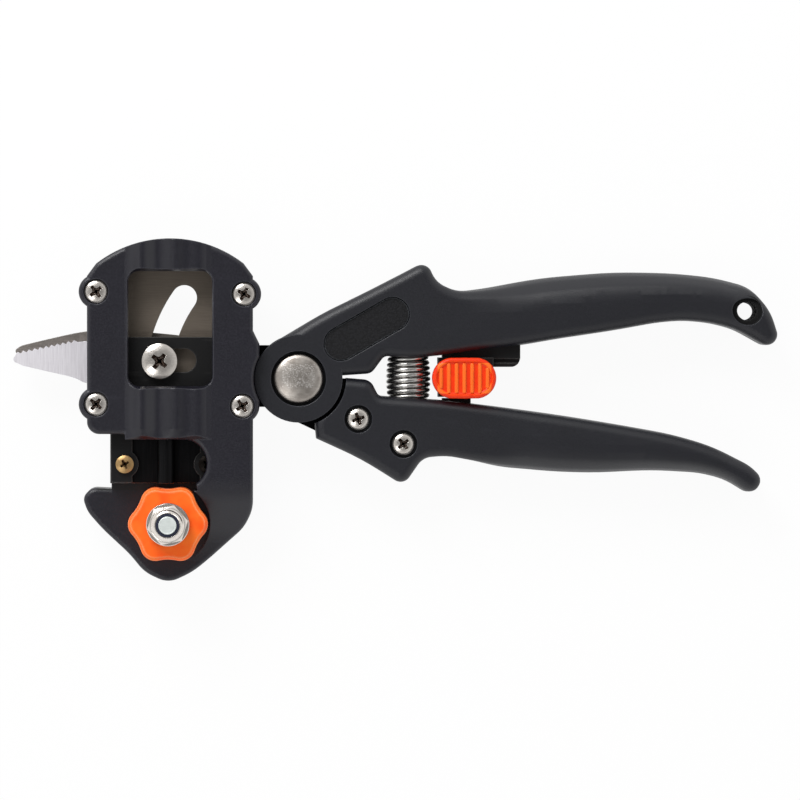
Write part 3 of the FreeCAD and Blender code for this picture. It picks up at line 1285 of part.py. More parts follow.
# Handle spring: a barrel of eight turns on arcs, each end bent square on to its seat
def biarc(start, start_way, end, end_way):
    """Two arcs that join two points and keep their directions."""
    across = end - start
    both = start_way + end_way
    square = 2 * (1 - start_way.dot(end_way))
    along = across.dot(both)
    if abs(square) < TOLERANCE:
        reach = across.dot(across) / (4 * across.dot(end_way))
    else:
        reach = (-along + math.sqrt(along * along + square * across.dot(across))) / square
    near = start + start_way * reach
    far = end - end_way * reach
    joint = (near + far) * 0.5
    return [knee_arc(start, near, joint), knee_arc(joint, far, end)]


def knee_arc(start, knee, end):
    """The arc from start to end whose tangents meet at the knee."""
    middle = (start + end) * 0.5
    half = start.distanceToPoint(end) / 2
    rise = knee.distanceToPoint(middle)
    side = start.distanceToPoint(knee)
    sagitta = half * (side - half) / rise
    return Part.Arc(start, middle + (knee - middle).normalize() * sagitta, end).toShape()


def spring_solid():
    wire = size("spring_wire")
    turns = int(size("spring_turns"))
    bend = size("spring_bend")
    low = size("spring_bottom_y") + wire + bend
    high = size("spring_top_y") - wire - bend
    axis_x = size("spring_x")
    axis_z = size("spring_height")
    end_radius = size("spring_end_radius")
    swell = size("spring_mid_radius") - end_radius

    def place(share):
        radius = end_radius + swell * math.sin(math.pi * share)
        angle = 2 * math.pi * turns * share
        y = low + (high - low) * share
        return Vector(axis_x + radius * math.cos(angle), y, axis_z - radius * math.sin(angle))

    def way(share):
        step = 1e-5
        return (place(share + step) - place(share - step)).normalize()

    steps = 4 * turns
    shares = [step / steps for step in range(steps + 1)]
    edges = []
    up = Vector(0, 1, 0)
    first = place(0) - way(0) * bend
    first.y = low - bend
    edges.append(Part.makeLine(first - up * wire, first))
    edges.extend(biarc(first, up, place(0), way(0)))
    for near, far in zip(shares, shares[1:]):
        edges.extend(biarc(place(near), way(near), place(far), way(far)))
    last = place(1) + way(1) * bend
    last.y = high + bend
    edges.extend(biarc(place(1), way(1), last, up))
    edges.append(Part.makeLine(last, last + up * wire))
    path = Part.Wire(edges)
    ring = Part.Wire(Part.makeCircle(wire / 2, first - up * wire, up))
    solid = path.makePipeShell([ring], True, False)
    report_spring(place, path, wire, turns, solid)
    return solid


def report_spring(place, path, wire, turns, solid):
    """Print the least gap between neighbouring turns, measured on points, and the volume."""
    per_turn = 90
    nearest = 2 * per_turn // 3
    furthest = 4 * per_turn // 3
    line = [place(step / (per_turn * turns)) for step in range(per_turn * turns + 1)]
    least = min(
        line[low].distanceToPoint(line[high])
        for low in range(len(line))
        for high in range(low + nearest, min(low + furthest + 1, len(line)))
    )
    volume = math.pi * (wire / 2) ** 2 * path.Length
    print(f"spring: least gap {least - wire:.2f} mm, volume {solid.Volume:.1f} of {volume:.1f} mm3")


spring = doc.addObject("Part::Feature", "handle_spring")
spring.Shape = spring_solid()
spring.Label = "handle_spring"
keep(spring)


# Check everything, then write one file for each sub-part
doc.recompute()
for item in doc.Objects:
    if "Invalid" in item.State or "Error" in item.State:
        raise RuntimeError(f"{item.Label} failed: {item.State}")
os.makedirs("parts", exist_ok=True)
for piece in SUB_PARTS:
    shape = piece.Shape
    if shape.isNull() or not shape.isValid() or not shape.Solids:
        raise RuntimeError(f"{piece.Label} has no valid shape")
    shape.exportStep(f"parts/{piece.Label}.step")
    print(f"{piece.Label}: {len(shape.Solids)} solids, {shape.Volume:.0f} mm3")
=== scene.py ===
# %% [markdown]
# # Dressing an omega grafting tool
# A grafting tool cuts a matching omega shape into two twigs, so that they lock together. This one is a pair
# of black handles, a head with a blade in it, and an orange wheel that the blade closes on.
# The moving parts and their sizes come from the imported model. This file gives them their looks: it keeps the
# sub-parts whose shape is right, and models again the ones that need more than a machinist's drawing holds.

# %% Load the model
import math

import bmesh
import bpy
from mathutils import Matrix, Vector


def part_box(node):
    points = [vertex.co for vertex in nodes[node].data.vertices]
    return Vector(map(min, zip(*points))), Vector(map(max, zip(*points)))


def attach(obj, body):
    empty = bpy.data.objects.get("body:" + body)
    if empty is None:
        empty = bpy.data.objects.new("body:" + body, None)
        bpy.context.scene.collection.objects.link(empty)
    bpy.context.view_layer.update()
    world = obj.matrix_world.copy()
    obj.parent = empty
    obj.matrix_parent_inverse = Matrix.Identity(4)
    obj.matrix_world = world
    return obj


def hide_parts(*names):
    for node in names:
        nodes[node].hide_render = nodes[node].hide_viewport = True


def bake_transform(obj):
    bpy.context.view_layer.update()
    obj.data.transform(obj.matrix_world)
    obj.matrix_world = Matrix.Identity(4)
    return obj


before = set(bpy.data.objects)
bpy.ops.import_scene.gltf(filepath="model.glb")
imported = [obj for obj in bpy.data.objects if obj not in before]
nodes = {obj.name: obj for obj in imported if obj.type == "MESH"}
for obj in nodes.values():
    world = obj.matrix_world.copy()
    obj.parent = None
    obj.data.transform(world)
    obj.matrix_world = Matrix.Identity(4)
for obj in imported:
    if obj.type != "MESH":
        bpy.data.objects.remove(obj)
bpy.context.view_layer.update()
MM = 0.001

# %% [markdown]
# ## Where the camera stands
# The photograph looks straight down on a tool that lies on its back, from well above it. The picture is 800
# pixels wide, and one pixel is 0.28 mm of the tool. From those the camera's place follows: the pivot is seen
# at a known pixel, so the picture's centre is a known point of the tool. The camera doesn't stand over that
# centre: the sides that show say that it is over a pixel further left and up, so it looks a little aslant.

# %% Camera
PICTURE = 800
PIXEL = 0.28 * MM
PIVOT_PIXEL = (298.4, 378.4)
CAMERA_PIXEL = (250, 315)
CAMERA_DISTANCE = 1600 * MM
SEEN_LEVEL = 14 * MM
SENSOR = 36
NEAREST = 10 * MM
FARTHEST = 20


def in_scene(name, data):
    """A new object in the scene, from its data."""
    made = bpy.data.objects.new(name, data)
    bpy.context.scene.collection.objects.link(made)
    return made


def from_pixel(pixel, level=SEEN_LEVEL):
    """The point of the tool under a pixel of the photograph."""
    across = (pixel[0] - PIVOT_PIXEL[0]) * PIXEL
    up = (PIVOT_PIXEL[1] - pixel[1]) * PIXEL
    return Vector((across, up, level))


camera_data = bpy.data.cameras.new("camera")
camera = in_scene("camera", camera_data)
aim = from_pixel((PICTURE / 2, PICTURE / 2))
camera.location = from_pixel(CAMERA_PIXEL, SEEN_LEVEL + CAMERA_DISTANCE)
line_of_sight = aim - camera.location
forwards = line_of_sight.normalized()
rightwards = forwards.cross(Vector((0, 1, 0))).normalized()
upwards = rightwards.cross(forwards)
turn = Matrix((rightwards, upwards, -forwards)).transposed()
camera.rotation_mode = "QUATERNION"
camera.rotation_quaternion = turn.to_quaternion()
camera_data.sensor_width = SENSOR
camera_data.lens = SENSOR * line_of_sight.length / (PICTURE * PIXEL)
camera_data.clip_start = NEAREST
camera_data.clip_end = FARTHEST
bpy.context.scene.camera = camera
print("camera", [round(value / MM, 1) for value in camera.location], "lens", round(camera_data.lens, 1))

# %% [markdown]
# ## Light
# The photograph has soft light from above, a little stronger from the picture's upper left, and a white
# ground. One broad lamp gives the slope of light over the black mouldings, and a smaller one lower left puts
# the glint on round metal. The world gives the rest: like a light tent with the camera in its top, it is white
# all round and darker overhead, so that flats stay calm and every rounding shows.
# Together they come to a plain level, at which a surface looks about as bright as its colour is written.


# %% Lamps
def lamp(name, place, target, size, watts):
    """A square soft lamp that points at the target."""
    data = bpy.data.lights.new(name, "AREA")
    data.size = size
    data.energy = watts
    stand = in_scene(name, data)
    stand.location = place
    stand.rotation_euler = (Vector(target) - Vector(place)).to_track_quat("-Z", "Y").to_euler()
    return stand


TOOL_MIDDLE = (20 * MM, -5 * MM, 10 * MM)
key = lamp("key", (-0.36, 0.7, 0.62), TOOL_MIDDLE, size=0.5, watts=7.0)
fill = lamp("fill", (-0.34, -0.36, 0.85), TOOL_MIDDLE, size=0.3, watts=0.8)
print("key", key.data.energy, "W and fill", fill.data.energy, "W")

# %% [markdown]
# ## A way to write finishes
# A finish is a small sum: a base colour, plus a little grain, less what the edges have lost. Blender adds up
# such sums with nodes, one for each plus and minus. A socket wrapped in a class with the operators overloaded
# lets the sum be written as it is thought, and it adds the nodes itself.


# %% Sockets that add up
class Wire:
    """A socket of a material that takes part in sums as a number does."""

    def __init__(self, finish, socket):
        self.finish = finish
        self.socket = socket

    def sum(self, operation, first, second):
        """One Math node."""
        return self.finish.node("ShaderNodeMath", {"operation": operation}, {0: first, 1: second})

    def __add__(self, other):
        return self.sum("ADD", self, other)

    def __radd__(self, other):
        return self.sum("ADD", other, self)

    def __sub__(self, other):
        return self.sum("SUBTRACT", self, other)

    def __rsub__(self, other):
        return self.sum("SUBTRACT", other, self)

    def __mul__(self, other):
        return self.sum("MULTIPLY", self, other)

    def __rmul__(self, other):
        return self.sum("MULTIPLY", other, self)

    def __lt__(self, other):
        return self.sum("LESS_THAN", self, other)

    def __gt__(self, other):
        return self.sum("GREATER_THAN", self, other)

    def at_most(self, other):
        return self.sum("MINIMUM", self, other)

    def at_least(self, other):
        return self.sum("MAXIMUM", self, other)

    def within(self):
        """The same value, kept from 0 to 1."""
        return self.at_least(0.0).at_most(1.0)


print("a Wire adds, takes away, multiplies and compares")


# %% A finish under construction
def paint(red, green, blue):
    """A colour as a picture shows it, 0 to 255, as the light values that a material takes: the sRGB curve."""
    shares = [value / 255 for value in (red, green, blue)]
    light = [share / 12.92 if share <= 0.04045 else ((share + 0.055) / 1.055) ** 2.4 for share in shares]
    return (*light, 1.0)


BEVEL_SAMPLES = 4
EDGE_GAIN = 6.0


class Finish:
    """A material, with the few patterns that this tool's surfaces need."""

    def __init__(self, name):
        self.material = bpy.data.materials.new(name)
        self.material.use_nodes = True
        self.tree = self.material.node_tree
        self.tree.nodes.clear()
        self.output = self.tree.nodes.new("ShaderNodeOutputMaterial")
        self.shader = self.tree.nodes.new("ShaderNodeBsdfPrincipled")
        self.tree.links.new(self.shader.outputs[0], self.output.inputs[0])
        self.place = self.node("ShaderNodeTexCoord", out="Object")

    def node(self, kind, settings=None, sockets=None, out=0):
        """Any node: its settings first, then the values or wires of its sockets."""
        node = self.tree.nodes.new(kind)
        for name, value in (settings or {}).items():
            if name == "stops":
                for stop, (position, shade) in zip(node.color_ramp.elements, value):
                    stop.position = position
                    stop.color = (shade, shade, shade, 1.0)
            else:
                setattr(node, name, value)
        for name, value in (sockets or {}).items():
            self.feed(node.inputs[name], value)
        return Wire(self, node.outputs[out])

    def feed(self, socket, value):
        """A wire or a plain value into a socket."""
        if isinstance(value, Wire):
            self.tree.links.new(value.socket, socket)
        else:
            socket.default_value = value

    def set(self, **values):
        """The shader's own sockets, with a space in a name written as _."""
        for name, value in values.items():
            self.feed(self.shader.inputs[name.replace("_", " ")], value)

    def now(self, socket):
        """What feeds one of the shader's sockets so far."""
        return Wire(self, self.shader.inputs[socket].links[0].from_socket)

    def noise(self, size, detail=3.0, stretch=(1, 1, 1)):
        """Soft speckle of this size, longer along an axis whose stretch is larger."""
        squeeze = [1 / share for share in stretch]
        spot = self.node("ShaderNodeMapping", sockets={"Vector": self.place, "Scale": squeeze})
        return self.node("ShaderNodeTexNoise", sockets={"Vector": spot, "Scale": 1 / size, "Detail": detail})

    def contrast(self, wire, low, high):
        """0 below low, 1 above high, and even between them."""
        stops = [(low, 0.0), (high, 1.0)]
        return self.node("ShaderNodeValToRGB", {"stops": stops}, {"Fac": wire})

    def blend(self, mask, plain, marked):
        """The plain colour, and the marked one where the mask is 1."""
        return self.node("ShaderNodeMix", {"data_type": "RGBA"}, {0: mask, 6: plain, 7: marked}, 2)

    def across(self, axis):
        """The place along X, Y or Z, in metres."""
        return self.node("ShaderNodeSeparateXYZ", sockets={"Vector": self.place}, out=axis)

    def boxed(self, low, high):
        """1 between two corners, given in mm, and 0 outside."""
        mask = 1.0
        for axis, start, end in zip("XYZ", low, high):
            place = self.across(axis)
            mask = mask * ((place > start * MM) * (place < end * MM))
        return mask

    def soft_normal(self, radius):
        """The surface's direction, rounded over every edge by this radius."""
        return self.node("ShaderNodeBevel", {"samples": BEVEL_SAMPLES}, {"Radius": radius})

    def edges(self, rounded):
        """0 on a flat, up to 1 on an edge, from how far the rounded direction leaves the real one."""
        straight = self.node("ShaderNodeNewGeometry", out="Normal")
        both = {0: rounded, 1: straight}
        agreement = self.node("ShaderNodeVectorMath", {"operation": "DOT_PRODUCT"}, both, "Value")
        return ((1 - agreement) * EDGE_GAIN).within()

    def bump(self, height, depth, rounded, strength=1.0):
        """The rounded direction, tilted by the slopes of a height."""
        sockets = {"Strength": strength, "Distance": depth, "Height": height, "Normal": rounded}
        return self.node("ShaderNodeBump", sockets=sockets)


print("a Finish has noise, contrast, blend, edges and bump")

# %% [markdown]
# ## World and ground
# The world is white up to half its height and falls to a quarter of that overhead; a ray's direction says
# which. A world has no Principled shader, so its finish is made without one and only adds nodes.
# The ground is a white sheet. What the camera sees of it, straight or in a polished screw, is a mix of its
# own light and the light that falls on it, so it stays white and still keeps the tool's soft shadow.


# %% World
def seen_straight(finish):
    """1 for rays from the camera, from a reflection or through glass, and 0 for the light that they gather."""
    kinds = ("Camera", "Glossy", "Transmission")
    straight, mirrored, through = [finish.node("ShaderNodeLightPath", out=f"Is {kind} Ray") for kind in kinds]
    return straight.at_least(mirrored).at_least(through)


OVERHEAD = 0.25
DARKENING = (0.55, 0.92)
world = bpy.data.worlds.new("studio")
bpy.context.scene.world = world
world.use_nodes = True
studio = Finish.__new__(Finish)
studio.tree = world.node_tree
sky = world.node_tree.nodes["Background"]
sky.inputs["Color"].default_value = (1, 1, 1, 1)
direction = studio.node("ShaderNodeTexCoord", out="Generated")
height = studio.node("ShaderNodeSeparateXYZ", sockets={"Vector": direction}, out=2)
studio.feed(sky.inputs["Strength"], 1 - studio.contrast(height, *DARKENING) * (1 - OVERHEAD))
print("the world falls to", OVERHEAD, "overhead")


# %% Ground
def plain_mesh(name, bm):
    """What a working mesh holds, as a plain mesh. The working one is freed."""
    mesh = bpy.data.meshes.new(name)
    bm.to_mesh(mesh)
    bm.free()
    return mesh


GROUND_LEVEL = -0.4 * MM
GROUND_REACH = 3.0
OWN_LIGHT = 0.94
bm = bmesh.new()
bmesh.ops.create_grid(bm, x_segments=4, y_segments=4, size=GROUND_REACH)
bmesh.ops.translate(bm, verts=bm.verts, vec=(0, 0, GROUND_LEVEL))
ground_mesh = plain_mesh("ground", bm)
ground = in_scene("ground", ground_mesh)
paper = Finish("white_ground")
fibres = paper.noise(3 * MM)
paper.set(Base_Color=paper.blend(fibres, paint(238, 238, 238), paint(244, 244, 244)), Roughness=0.9)
glow = paper.node("ShaderNodeEmission", sockets={"Color": (1, 1, 1, 1), "Strength": 1.0})
lit = Wire(paper, paper.shader.outputs[0])
both = {0: seen_straight(paper) * OWN_LIGHT, 1: lit, 2: glow}
sheet = paper.node("ShaderNodeMixShader", sockets=both)
paper.tree.links.new(sheet.socket, paper.output.inputs[0])
ground_mesh.materials.append(paper.material)
bpy.context.scene.view_settings.view_transform = "Standard"
print("ground at", GROUND_LEVEL / MM, "mm")

# %% [markdown]
# ## Black mouldings
# The handles are glass-filled nylon from a mould with a fine spark-worn grain. The head is an aluminium
# casting with a black powder coat, a little smoother and bluer. Both could be one flat black, but it is the
# grain and the paler edges that tell the eye how large they are and what they are made of. The edges are paler
# partly from rubbing and partly as a painted highlight, where light would catch the rounds.
# The grain is a bump about 0.4 mm across, and the paler colour follows the rounded edges.


# %% Moulded black
GRAIN_STRENGTH = 0.6


def moulded(name, dark, light, rubbed_and_lit_edge, grain_size, grain_depth, roughness, edge, sheen=0.5):
    """A black moulding: cloudy colour, fine grain, and paler edges, from rubbing and a painted edge highlight.
    """
    finish = Finish(name)
    rounded = finish.soft_normal(edge)
    edge_mask = finish.edges(rounded)
    clouds = finish.noise(14 * MM)
    grain = finish.noise(grain_size, detail=2.0)
    scuffs = finish.contrast(finish.noise(2.2 * MM, detail=5.0, stretch=(4, 1, 1)), 0.62, 0.75)
    speck = finish.contrast(grain, 0.35, 0.7)
    shade = finish.blend((clouds * 0.6 + speck * 0.4).within(), dark, light)
    # Paler edges: partly rubbing, partly a painted highlight where light would catch the rounds.
    wear_and_edge_light = (edge_mask * (0.5 + scuffs * 0.5) + scuffs * 0.06).within()
    finish.set(
        Base_Color=finish.blend(wear_and_edge_light, shade, rubbed_and_lit_edge), Roughness=roughness + speck * 0.1 - edge_mask * 0.12,
        Specular_IOR_Level=sheen, Normal=finish.bump(grain, grain_depth, rounded, GRAIN_STRENGTH),
    )
    return finish, (grain, grain_depth, rounded)


def repainted(finish, mask, tone):
    """The finish with another colour where the mask is 1."""
    finish.set(Base_Color=finish.blend(mask, finish.now("Base Color"), tone))


# The third colour of each is its edges': rubbed, and lightened as a painted highlight.
handle_finish = moulded(
    "handle_black", paint(8, 9, 17), paint(17, 18, 27), paint(64, 66, 75),
    grain_size=0.32 * MM, grain_depth=0.05 * MM, roughness=0.42, edge=0.5 * MM)[0]
head_finish, head_grain = moulded(
    "head_black", paint(14, 13, 22), paint(24, 23, 34), paint(74, 74, 84),
    grain_size=0.45 * MM, grain_depth=0.04 * MM, roughness=0.34, edge=0.6 * MM)
carrier_finish = moulded(
    "carrier_black", paint(7, 7, 8), paint(13, 13, 14), paint(120, 118, 116),
    grain_size=0.4 * MM, grain_depth=0.03 * MM, roughness=0.5, edge=0.4 * MM, sheen=0.25)[0]
handle_black = handle_finish.material
head_black = head_finish.material
carrier_black = carrier_finish.material
print("black for the handles, the head and the carrier")

# %% [markdown]
# ## Two places of painted shade
# The floor of the throat behind the blade and the wall of the hang hole are painted darker, as shade.
# A piece has one finish, so the painted shade goes through a mask made from the place on the piece.

# %% Throat and hang hole
# Painted shade: the throat's floor behind the blade is painted near-black, in soft clouds.
THROAT = ((-56.2, -31.3, -1), (-25.4, -18.0, 12.1))
throat_shade_clouds = head_finish.noise(4 * MM)
repainted(head_finish, head_finish.boxed(*THROAT), head_finish.blend(throat_shade_clouds, paint(4, 4, 5), paint(10, 10, 11)))

HANG_HOLE = (125.6 * MM, 18.9 * MM)
DARK_RADIUS = 4.3 * MM
DARK_BELOW = 17 * MM
DULLER_BY = 0.5
# Painted shade: the hang hole's wall below the rim is painted near-black.
from_hole = [handle_finish.across(axis) - middle for axis, middle in zip("XY", HANG_HOLE)]
inside_hole = from_hole[0] * from_hole[0] + from_hole[1] * from_hole[1] < DARK_RADIUS ** 2
inside_hole = inside_hole * (handle_finish.across("Z") < DARK_BELOW)
repainted(handle_finish, inside_hole, paint(2, 2, 3))
handle_finish.set(Roughness=handle_finish.now("Roughness") + inside_hole * DULLER_BY)
print("dark throat, and a dark wall within", DARK_RADIUS / MM, "mm of the hang hole's axis")

# %% [markdown]
# ## Flutes down the cover
# Soft flutes run down the cover's raised band and catch the light as vertical streaks. The drawn casting has
# the band's wide groove, and the flutes in it are too shallow to show in an outline, so they are a bump: a
# cosine across the band, which fades out at the band's two sides and above the throat. The bump is deeper than
# the real flutes, because light this soft hardly shows a shallow one.

# %% Flutes
FLUTE_PITCH = 9.5 * MM
FLUTE_CREST = -43.8 * MM
FLUTE_DEPTH = 1.3 * MM
BAND_LEFT = -48.5 * MM
BAND_WIDTH = 24 * MM
THROAT_TOP = -20 * MM
FADE_HEIGHT = 20 * MM
x_place = head_finish.across("X")
turns = (x_place - FLUTE_CREST) * (math.tau / FLUTE_PITCH)
wave = head_finish.node("ShaderNodeMath", {"operation": "COSINE"}, {0: turns}) * 0.5 + 0.5
over_band = (x_place - BAND_LEFT) * (1 / BAND_WIDTH)
from_left = head_finish.contrast(over_band, 0.02, 0.18)
to_right = head_finish.contrast(over_band, 0.62, 0.95)
sides = from_left * (1 - to_right)
above = head_finish.contrast((head_finish.across("Y") - THROAT_TOP) * (1 / FADE_HEIGHT), 0.1, 0.3)
grain, grain_depth, rounded = head_grain
fluted = head_finish.bump(wave * sides * above, FLUTE_DEPTH, rounded)
head_finish.set(Normal=head_finish.bump(grain, grain_depth, fluted, GRAIN_STRENGTH))
print("flutes every", FLUTE_PITCH / MM, "mm from", FLUTE_CREST / MM, "mm")

# %% [markdown]
# ## The cap and the nylon ring
# The oval cap in the upper handle is moulded with a coarser pebble than the handle. Pebbles are close cells
# with rounded tops, which a Voronoi pattern gives. The gaps between them are painted darker, as shade, and
# the cap's edges paler, as a painted highlight. The nut's ring is waxy nylon, and soft clouds are enough.


# %% Pebbled cap and nylon
PEBBLE = 0.55 * MM


def pebbled(name):
    """The cap: darker than the handle, with a coarser pebble, painted shade in its gaps and a painted edge
    highlight.
    """
    finish = Finish(name)
    rounded = finish.soft_normal(0.5 * MM)
    sockets = {"Vector": finish.place, "Scale": 1 / PEBBLE}
    cells = finish.node("ShaderNodeTexVoronoi", {"feature": "F1"}, sockets)
    pebble = finish.contrast(cells, 0.2, 0.8)
    # Painted shade: the gaps between the pebbles are darker than their tops.
    tone = finish.blend(pebble, paint(22, 22, 25), paint(13, 13, 15))
    edge_mask = finish.edges(rounded)
    # Painted highlight: the cap's edges are mixed towards a pale grey.
    finish.set(
        Base_Color=finish.blend(edge_mask, tone, paint(112, 116, 122)), Roughness=0.6 + pebble * 0.15,
        Specular_IOR_Level=0.25, Normal=finish.bump(1 - pebble, 0.08 * MM, rounded, strength=0.8),
    )
    return finish.material


inset_black = pebbled("inset_black")


def nylon(name):
    """The locking ring in the nut: dark, waxy and a little blue."""
    finish = Finish(name)
    rounded = finish.soft_normal(0.15 * MM)
    clouds = finish.noise(0.6 * MM, detail=2.0)
    tone = finish.blend(clouds, paint(22, 26, 44), paint(34, 40, 62))
    finish.set(Base_Color=tone, Roughness=0.35 + clouds * 0.15, Normal=finish.bump(clouds, 0.03 * MM, rounded))
    return finish.material


ring_nylon = nylon("nylon")
print("the cap and the nylon ring")

# %% [markdown]
# ## Metals
# Sheet steel shows the lines of the grinder, and plated screws show fine scratches and a soft sheen. A metal
# has no colour of its own under its shine, so its tone is its base colour, and what gives it life is
# roughness that changes along the lines. The lines are one noise stretched along the way of grinding.


# %% Ground steel
GRINDING = 0.25 * MM


def ground_steel(name, dark, light, lines_along, roughness):
    """Sheet steel ground in one direction, with smoother edges that are painted brighter as a highlight."""
    finish = Finish(name)
    rounded = finish.soft_normal(0.2 * MM)
    edge_mask = finish.edges(rounded)
    lines = finish.noise(GRINDING, stretch=lines_along)
    stains = finish.noise(9 * MM)
    tone = finish.blend(lines, dark, light)
    stained = finish.blend(finish.contrast(stains, 0.5, 0.85) * 0.3, tone, dark)
    # Painted highlight: the edges are mixed towards a pale grey.
    finish.set(
        Base_Color=finish.blend(edge_mask * 0.6, stained, paint(200, 198, 196)), Metallic=1.0,
        Roughness=roughness + lines * 0.2 - edge_mask * 0.1,
        Normal=finish.bump(lines, 0.015 * MM, rounded, strength=0.5),
    )
    return finish


ALONG_X = (30, 1, 1)
ALONG_Y = (1, 30, 1)
plate_finish = ground_steel("plate_steel", paint(106, 98, 89), paint(143, 133, 122), ALONG_X, roughness=0.5)
lever_finish = ground_steel(
    "lever_steel", paint(112, 107, 102), paint(150, 144, 138), ALONG_X, roughness=0.45)
blade_finish = ground_steel("blade_steel", paint(16, 16, 17), paint(36, 36, 37), ALONG_Y, roughness=0.34)
plate_steel = plate_finish.material
lever_steel = lever_finish.material
blade_steel = blade_finish.material
print("plate, lever and blade steel")

# %% [markdown]
# ## The pruning jaw and the black necks
# The frame plate is grey-brown inside the head, but the jaw that stands out of the head is ground bright on
# its face, up and down. Near the pivot both plates are near-black. It is one sheet each time, so it is one
# material: the place along X says where the bright grinding starts, and where the near-black does.

# %% Bright jaw and black necks
JAW_START = -58.7 * MM
BLACK_START = -20.0 * MM
jaw = plate_finish.across("X") < JAW_START
jaw_lines = plate_finish.noise(0.22 * MM, stretch=ALONG_Y)
repainted(plate_finish, jaw, plate_finish.blend(jaw_lines, paint(204, 200, 205), paint(250, 248, 252)))
for finish in (plate_finish, lever_finish):
    neck_black = finish.blend(finish.noise(3 * MM), paint(10, 10, 11), paint(20, 20, 22))
    repainted(finish, finish.across("X") > BLACK_START, neck_black)
print("jaw bright beyond", JAW_START / MM, "mm and paint from", BLACK_START / MM, "mm")


# %% Plated and plain fasteners
def plated(name, dark, light, recess, roughness, scratch_size):
    """A plated fastener. The recess attribute is 1 inside the driver's cross, which is painted darker, as
    shade.
    """
    finish = Finish(name)
    rounded = finish.soft_normal(0.12 * MM)
    edge_mask = finish.edges(rounded)
    scratches = finish.noise(scratch_size, detail=4.0, stretch=(3, 1, 1))
    blotches = finish.noise(1.6 * MM, detail=4.0)
    inside = finish.node("ShaderNodeAttribute", {"attribute_name": "recess"}, out="Fac")
    tone = finish.blend((scratches * 0.5 + blotches * 0.5).within(), dark, light)
    # Painted shade: the inside of the cross is mixed towards the recess colour.
    tone_and_cross_shade = finish.blend(inside * (0.65 + blotches * 0.5), tone, recess)
    finish.set(
        Base_Color=finish.blend(edge_mask * 0.4, tone_and_cross_shade, light), Metallic=1.0,
        Roughness=roughness + scratches * 0.16 + inside * 0.2,
        Normal=finish.bump(scratches + blotches * 0.6, 0.02 * MM, rounded, strength=0.4),
    )
    return finish


# The colour of the painted shade inside a driver's cross.
RECESS_SHADE = paint(82, 60, 46)
nickel = plated(
    "nickel", paint(206, 198, 190), paint(250, 245, 238), RECESS_SHADE,
    roughness=0.14, scratch_size=0.35 * MM).material
zinc = plated(
    "zinc", paint(206, 214, 210), paint(246, 250, 248), RECESS_SHADE, roughness=0.5, scratch_size=0.4 * MM).material
spring_steel = plated(
    "spring_steel", paint(120, 118, 116), paint(236, 234, 230), paint(60, 58, 56),
    roughness=0.16, scratch_size=0.3 * MM).material
print("nickel, zinc and spring wire")

# %% [markdown]
# ## Two fasteners that age has changed
# The pivot's head is tarnished in clouds, with bright specks where it was rubbed. Of the two bronze-coloured
# blade screws, the right one is blacked. Both are the plated finish with a little more paint through a mask.

# %% Tarnished pivot and blacked screw
pivot_finish = plated(
    "pivot_nickel", paint(166, 158, 150), paint(228, 222, 215), RECESS_SHADE, roughness=0.27, scratch_size=0.5 * MM)
tarnish = pivot_finish.contrast(pivot_finish.noise(5 * MM), 0.42, 0.7)
repainted(pivot_finish, tarnish * 0.6, paint(118, 108, 99))
RUBBED_PATCH = ((-4.5, -2.5, 15), (4.5, 4.0, 20))
pits = pivot_finish.contrast(pivot_finish.noise(0.4 * MM, detail=4.0), 0.5, 0.62)
repainted(pivot_finish, pits * pivot_finish.boxed(*RUBBED_PATCH) * 0.7, paint(250, 246, 242))
pivot_nickel = pivot_finish.material

BLACKED_FROM = -37 * MM
bronze_finish = plated(
    "bronze", paint(138, 104, 62), paint(214, 180, 128), paint(74, 52, 32),
    roughness=0.28, scratch_size=0.35 * MM)
blacked = bronze_finish.blend(bronze_finish.noise(0.5 * MM), paint(14, 13, 12), paint(34, 30, 27))
repainted(bronze_finish, bronze_finish.across("X") > BLACKED_FROM, blacked)
bronze = bronze_finish.material
print("pivot tarnished, and screws blacked right of", BLACKED_FROM / MM, "mm")

# %% [markdown]
# ## Orange plastic
# The wheel and the lock button are glossy orange. Their edges are painted lighter, as a highlight where light
# would catch them, so the edge mask lightens the colour instead of darkening it. The button's ridges are too
# small for that mask alone, so a box round their tops paints the same highlight on them.


# %% Glossy orange
def glossy(name, body_colour, deep, edge_highlight, edge, cloud_size, crests=None):
    """Orange plastic, with a painted highlight on its edges and, where crests gives two corners, also between
    them.
    """
    finish = Finish(name)
    rounded = finish.soft_normal(edge)
    edge_mask = finish.edges(rounded)
    ripple = finish.noise(cloud_size, detail=2.0)
    specks = finish.noise(0.3 * MM, detail=2.0)
    tone = finish.blend(finish.contrast(ripple, 0.35, 0.7), body_colour, deep)
    # Painted highlight: the edges, and with crests also the ridge tops, are mixed towards the highlight colour.
    if crests:
        edge_mask = edge_mask.at_least(finish.boxed(*crests))
    finish.set(
        Base_Color=finish.blend(edge_mask * 0.7, tone, edge_highlight), Roughness=0.32 + specks * 0.12,
        Specular_IOR_Level=0.3, Normal=finish.bump(specks + ripple, 0.02 * MM, rounded, strength=0.5),
    )
    return finish.material


# The last colour of each is the painted edge highlight.
wheel_orange = glossy(
    "wheel_orange", paint(255, 116, 32), paint(255, 88, 15), paint(255, 205, 150),
    edge=0.9 * MM, cloud_size=6 * MM)
# The box round the ridge tops, where the painted highlight goes.
RIDGE_TOPS = ((38.8, -4.15, 19.1), (53.8, 4.35, 20))
button_orange = glossy(
    "button_orange", paint(240, 56, 3), paint(228, 46, 2), paint(255, 124, 36),
    edge=0.25 * MM, cloud_size=2.5 * MM, crests=RIDGE_TOPS)
print("two oranges")

# %% [markdown]
# ## Finishes for the sub-parts that stay
# The sub-parts whose drawn shape is right keep it, and only get their finish. Those that are modelled again
# further on get it too, so none is ever bare.

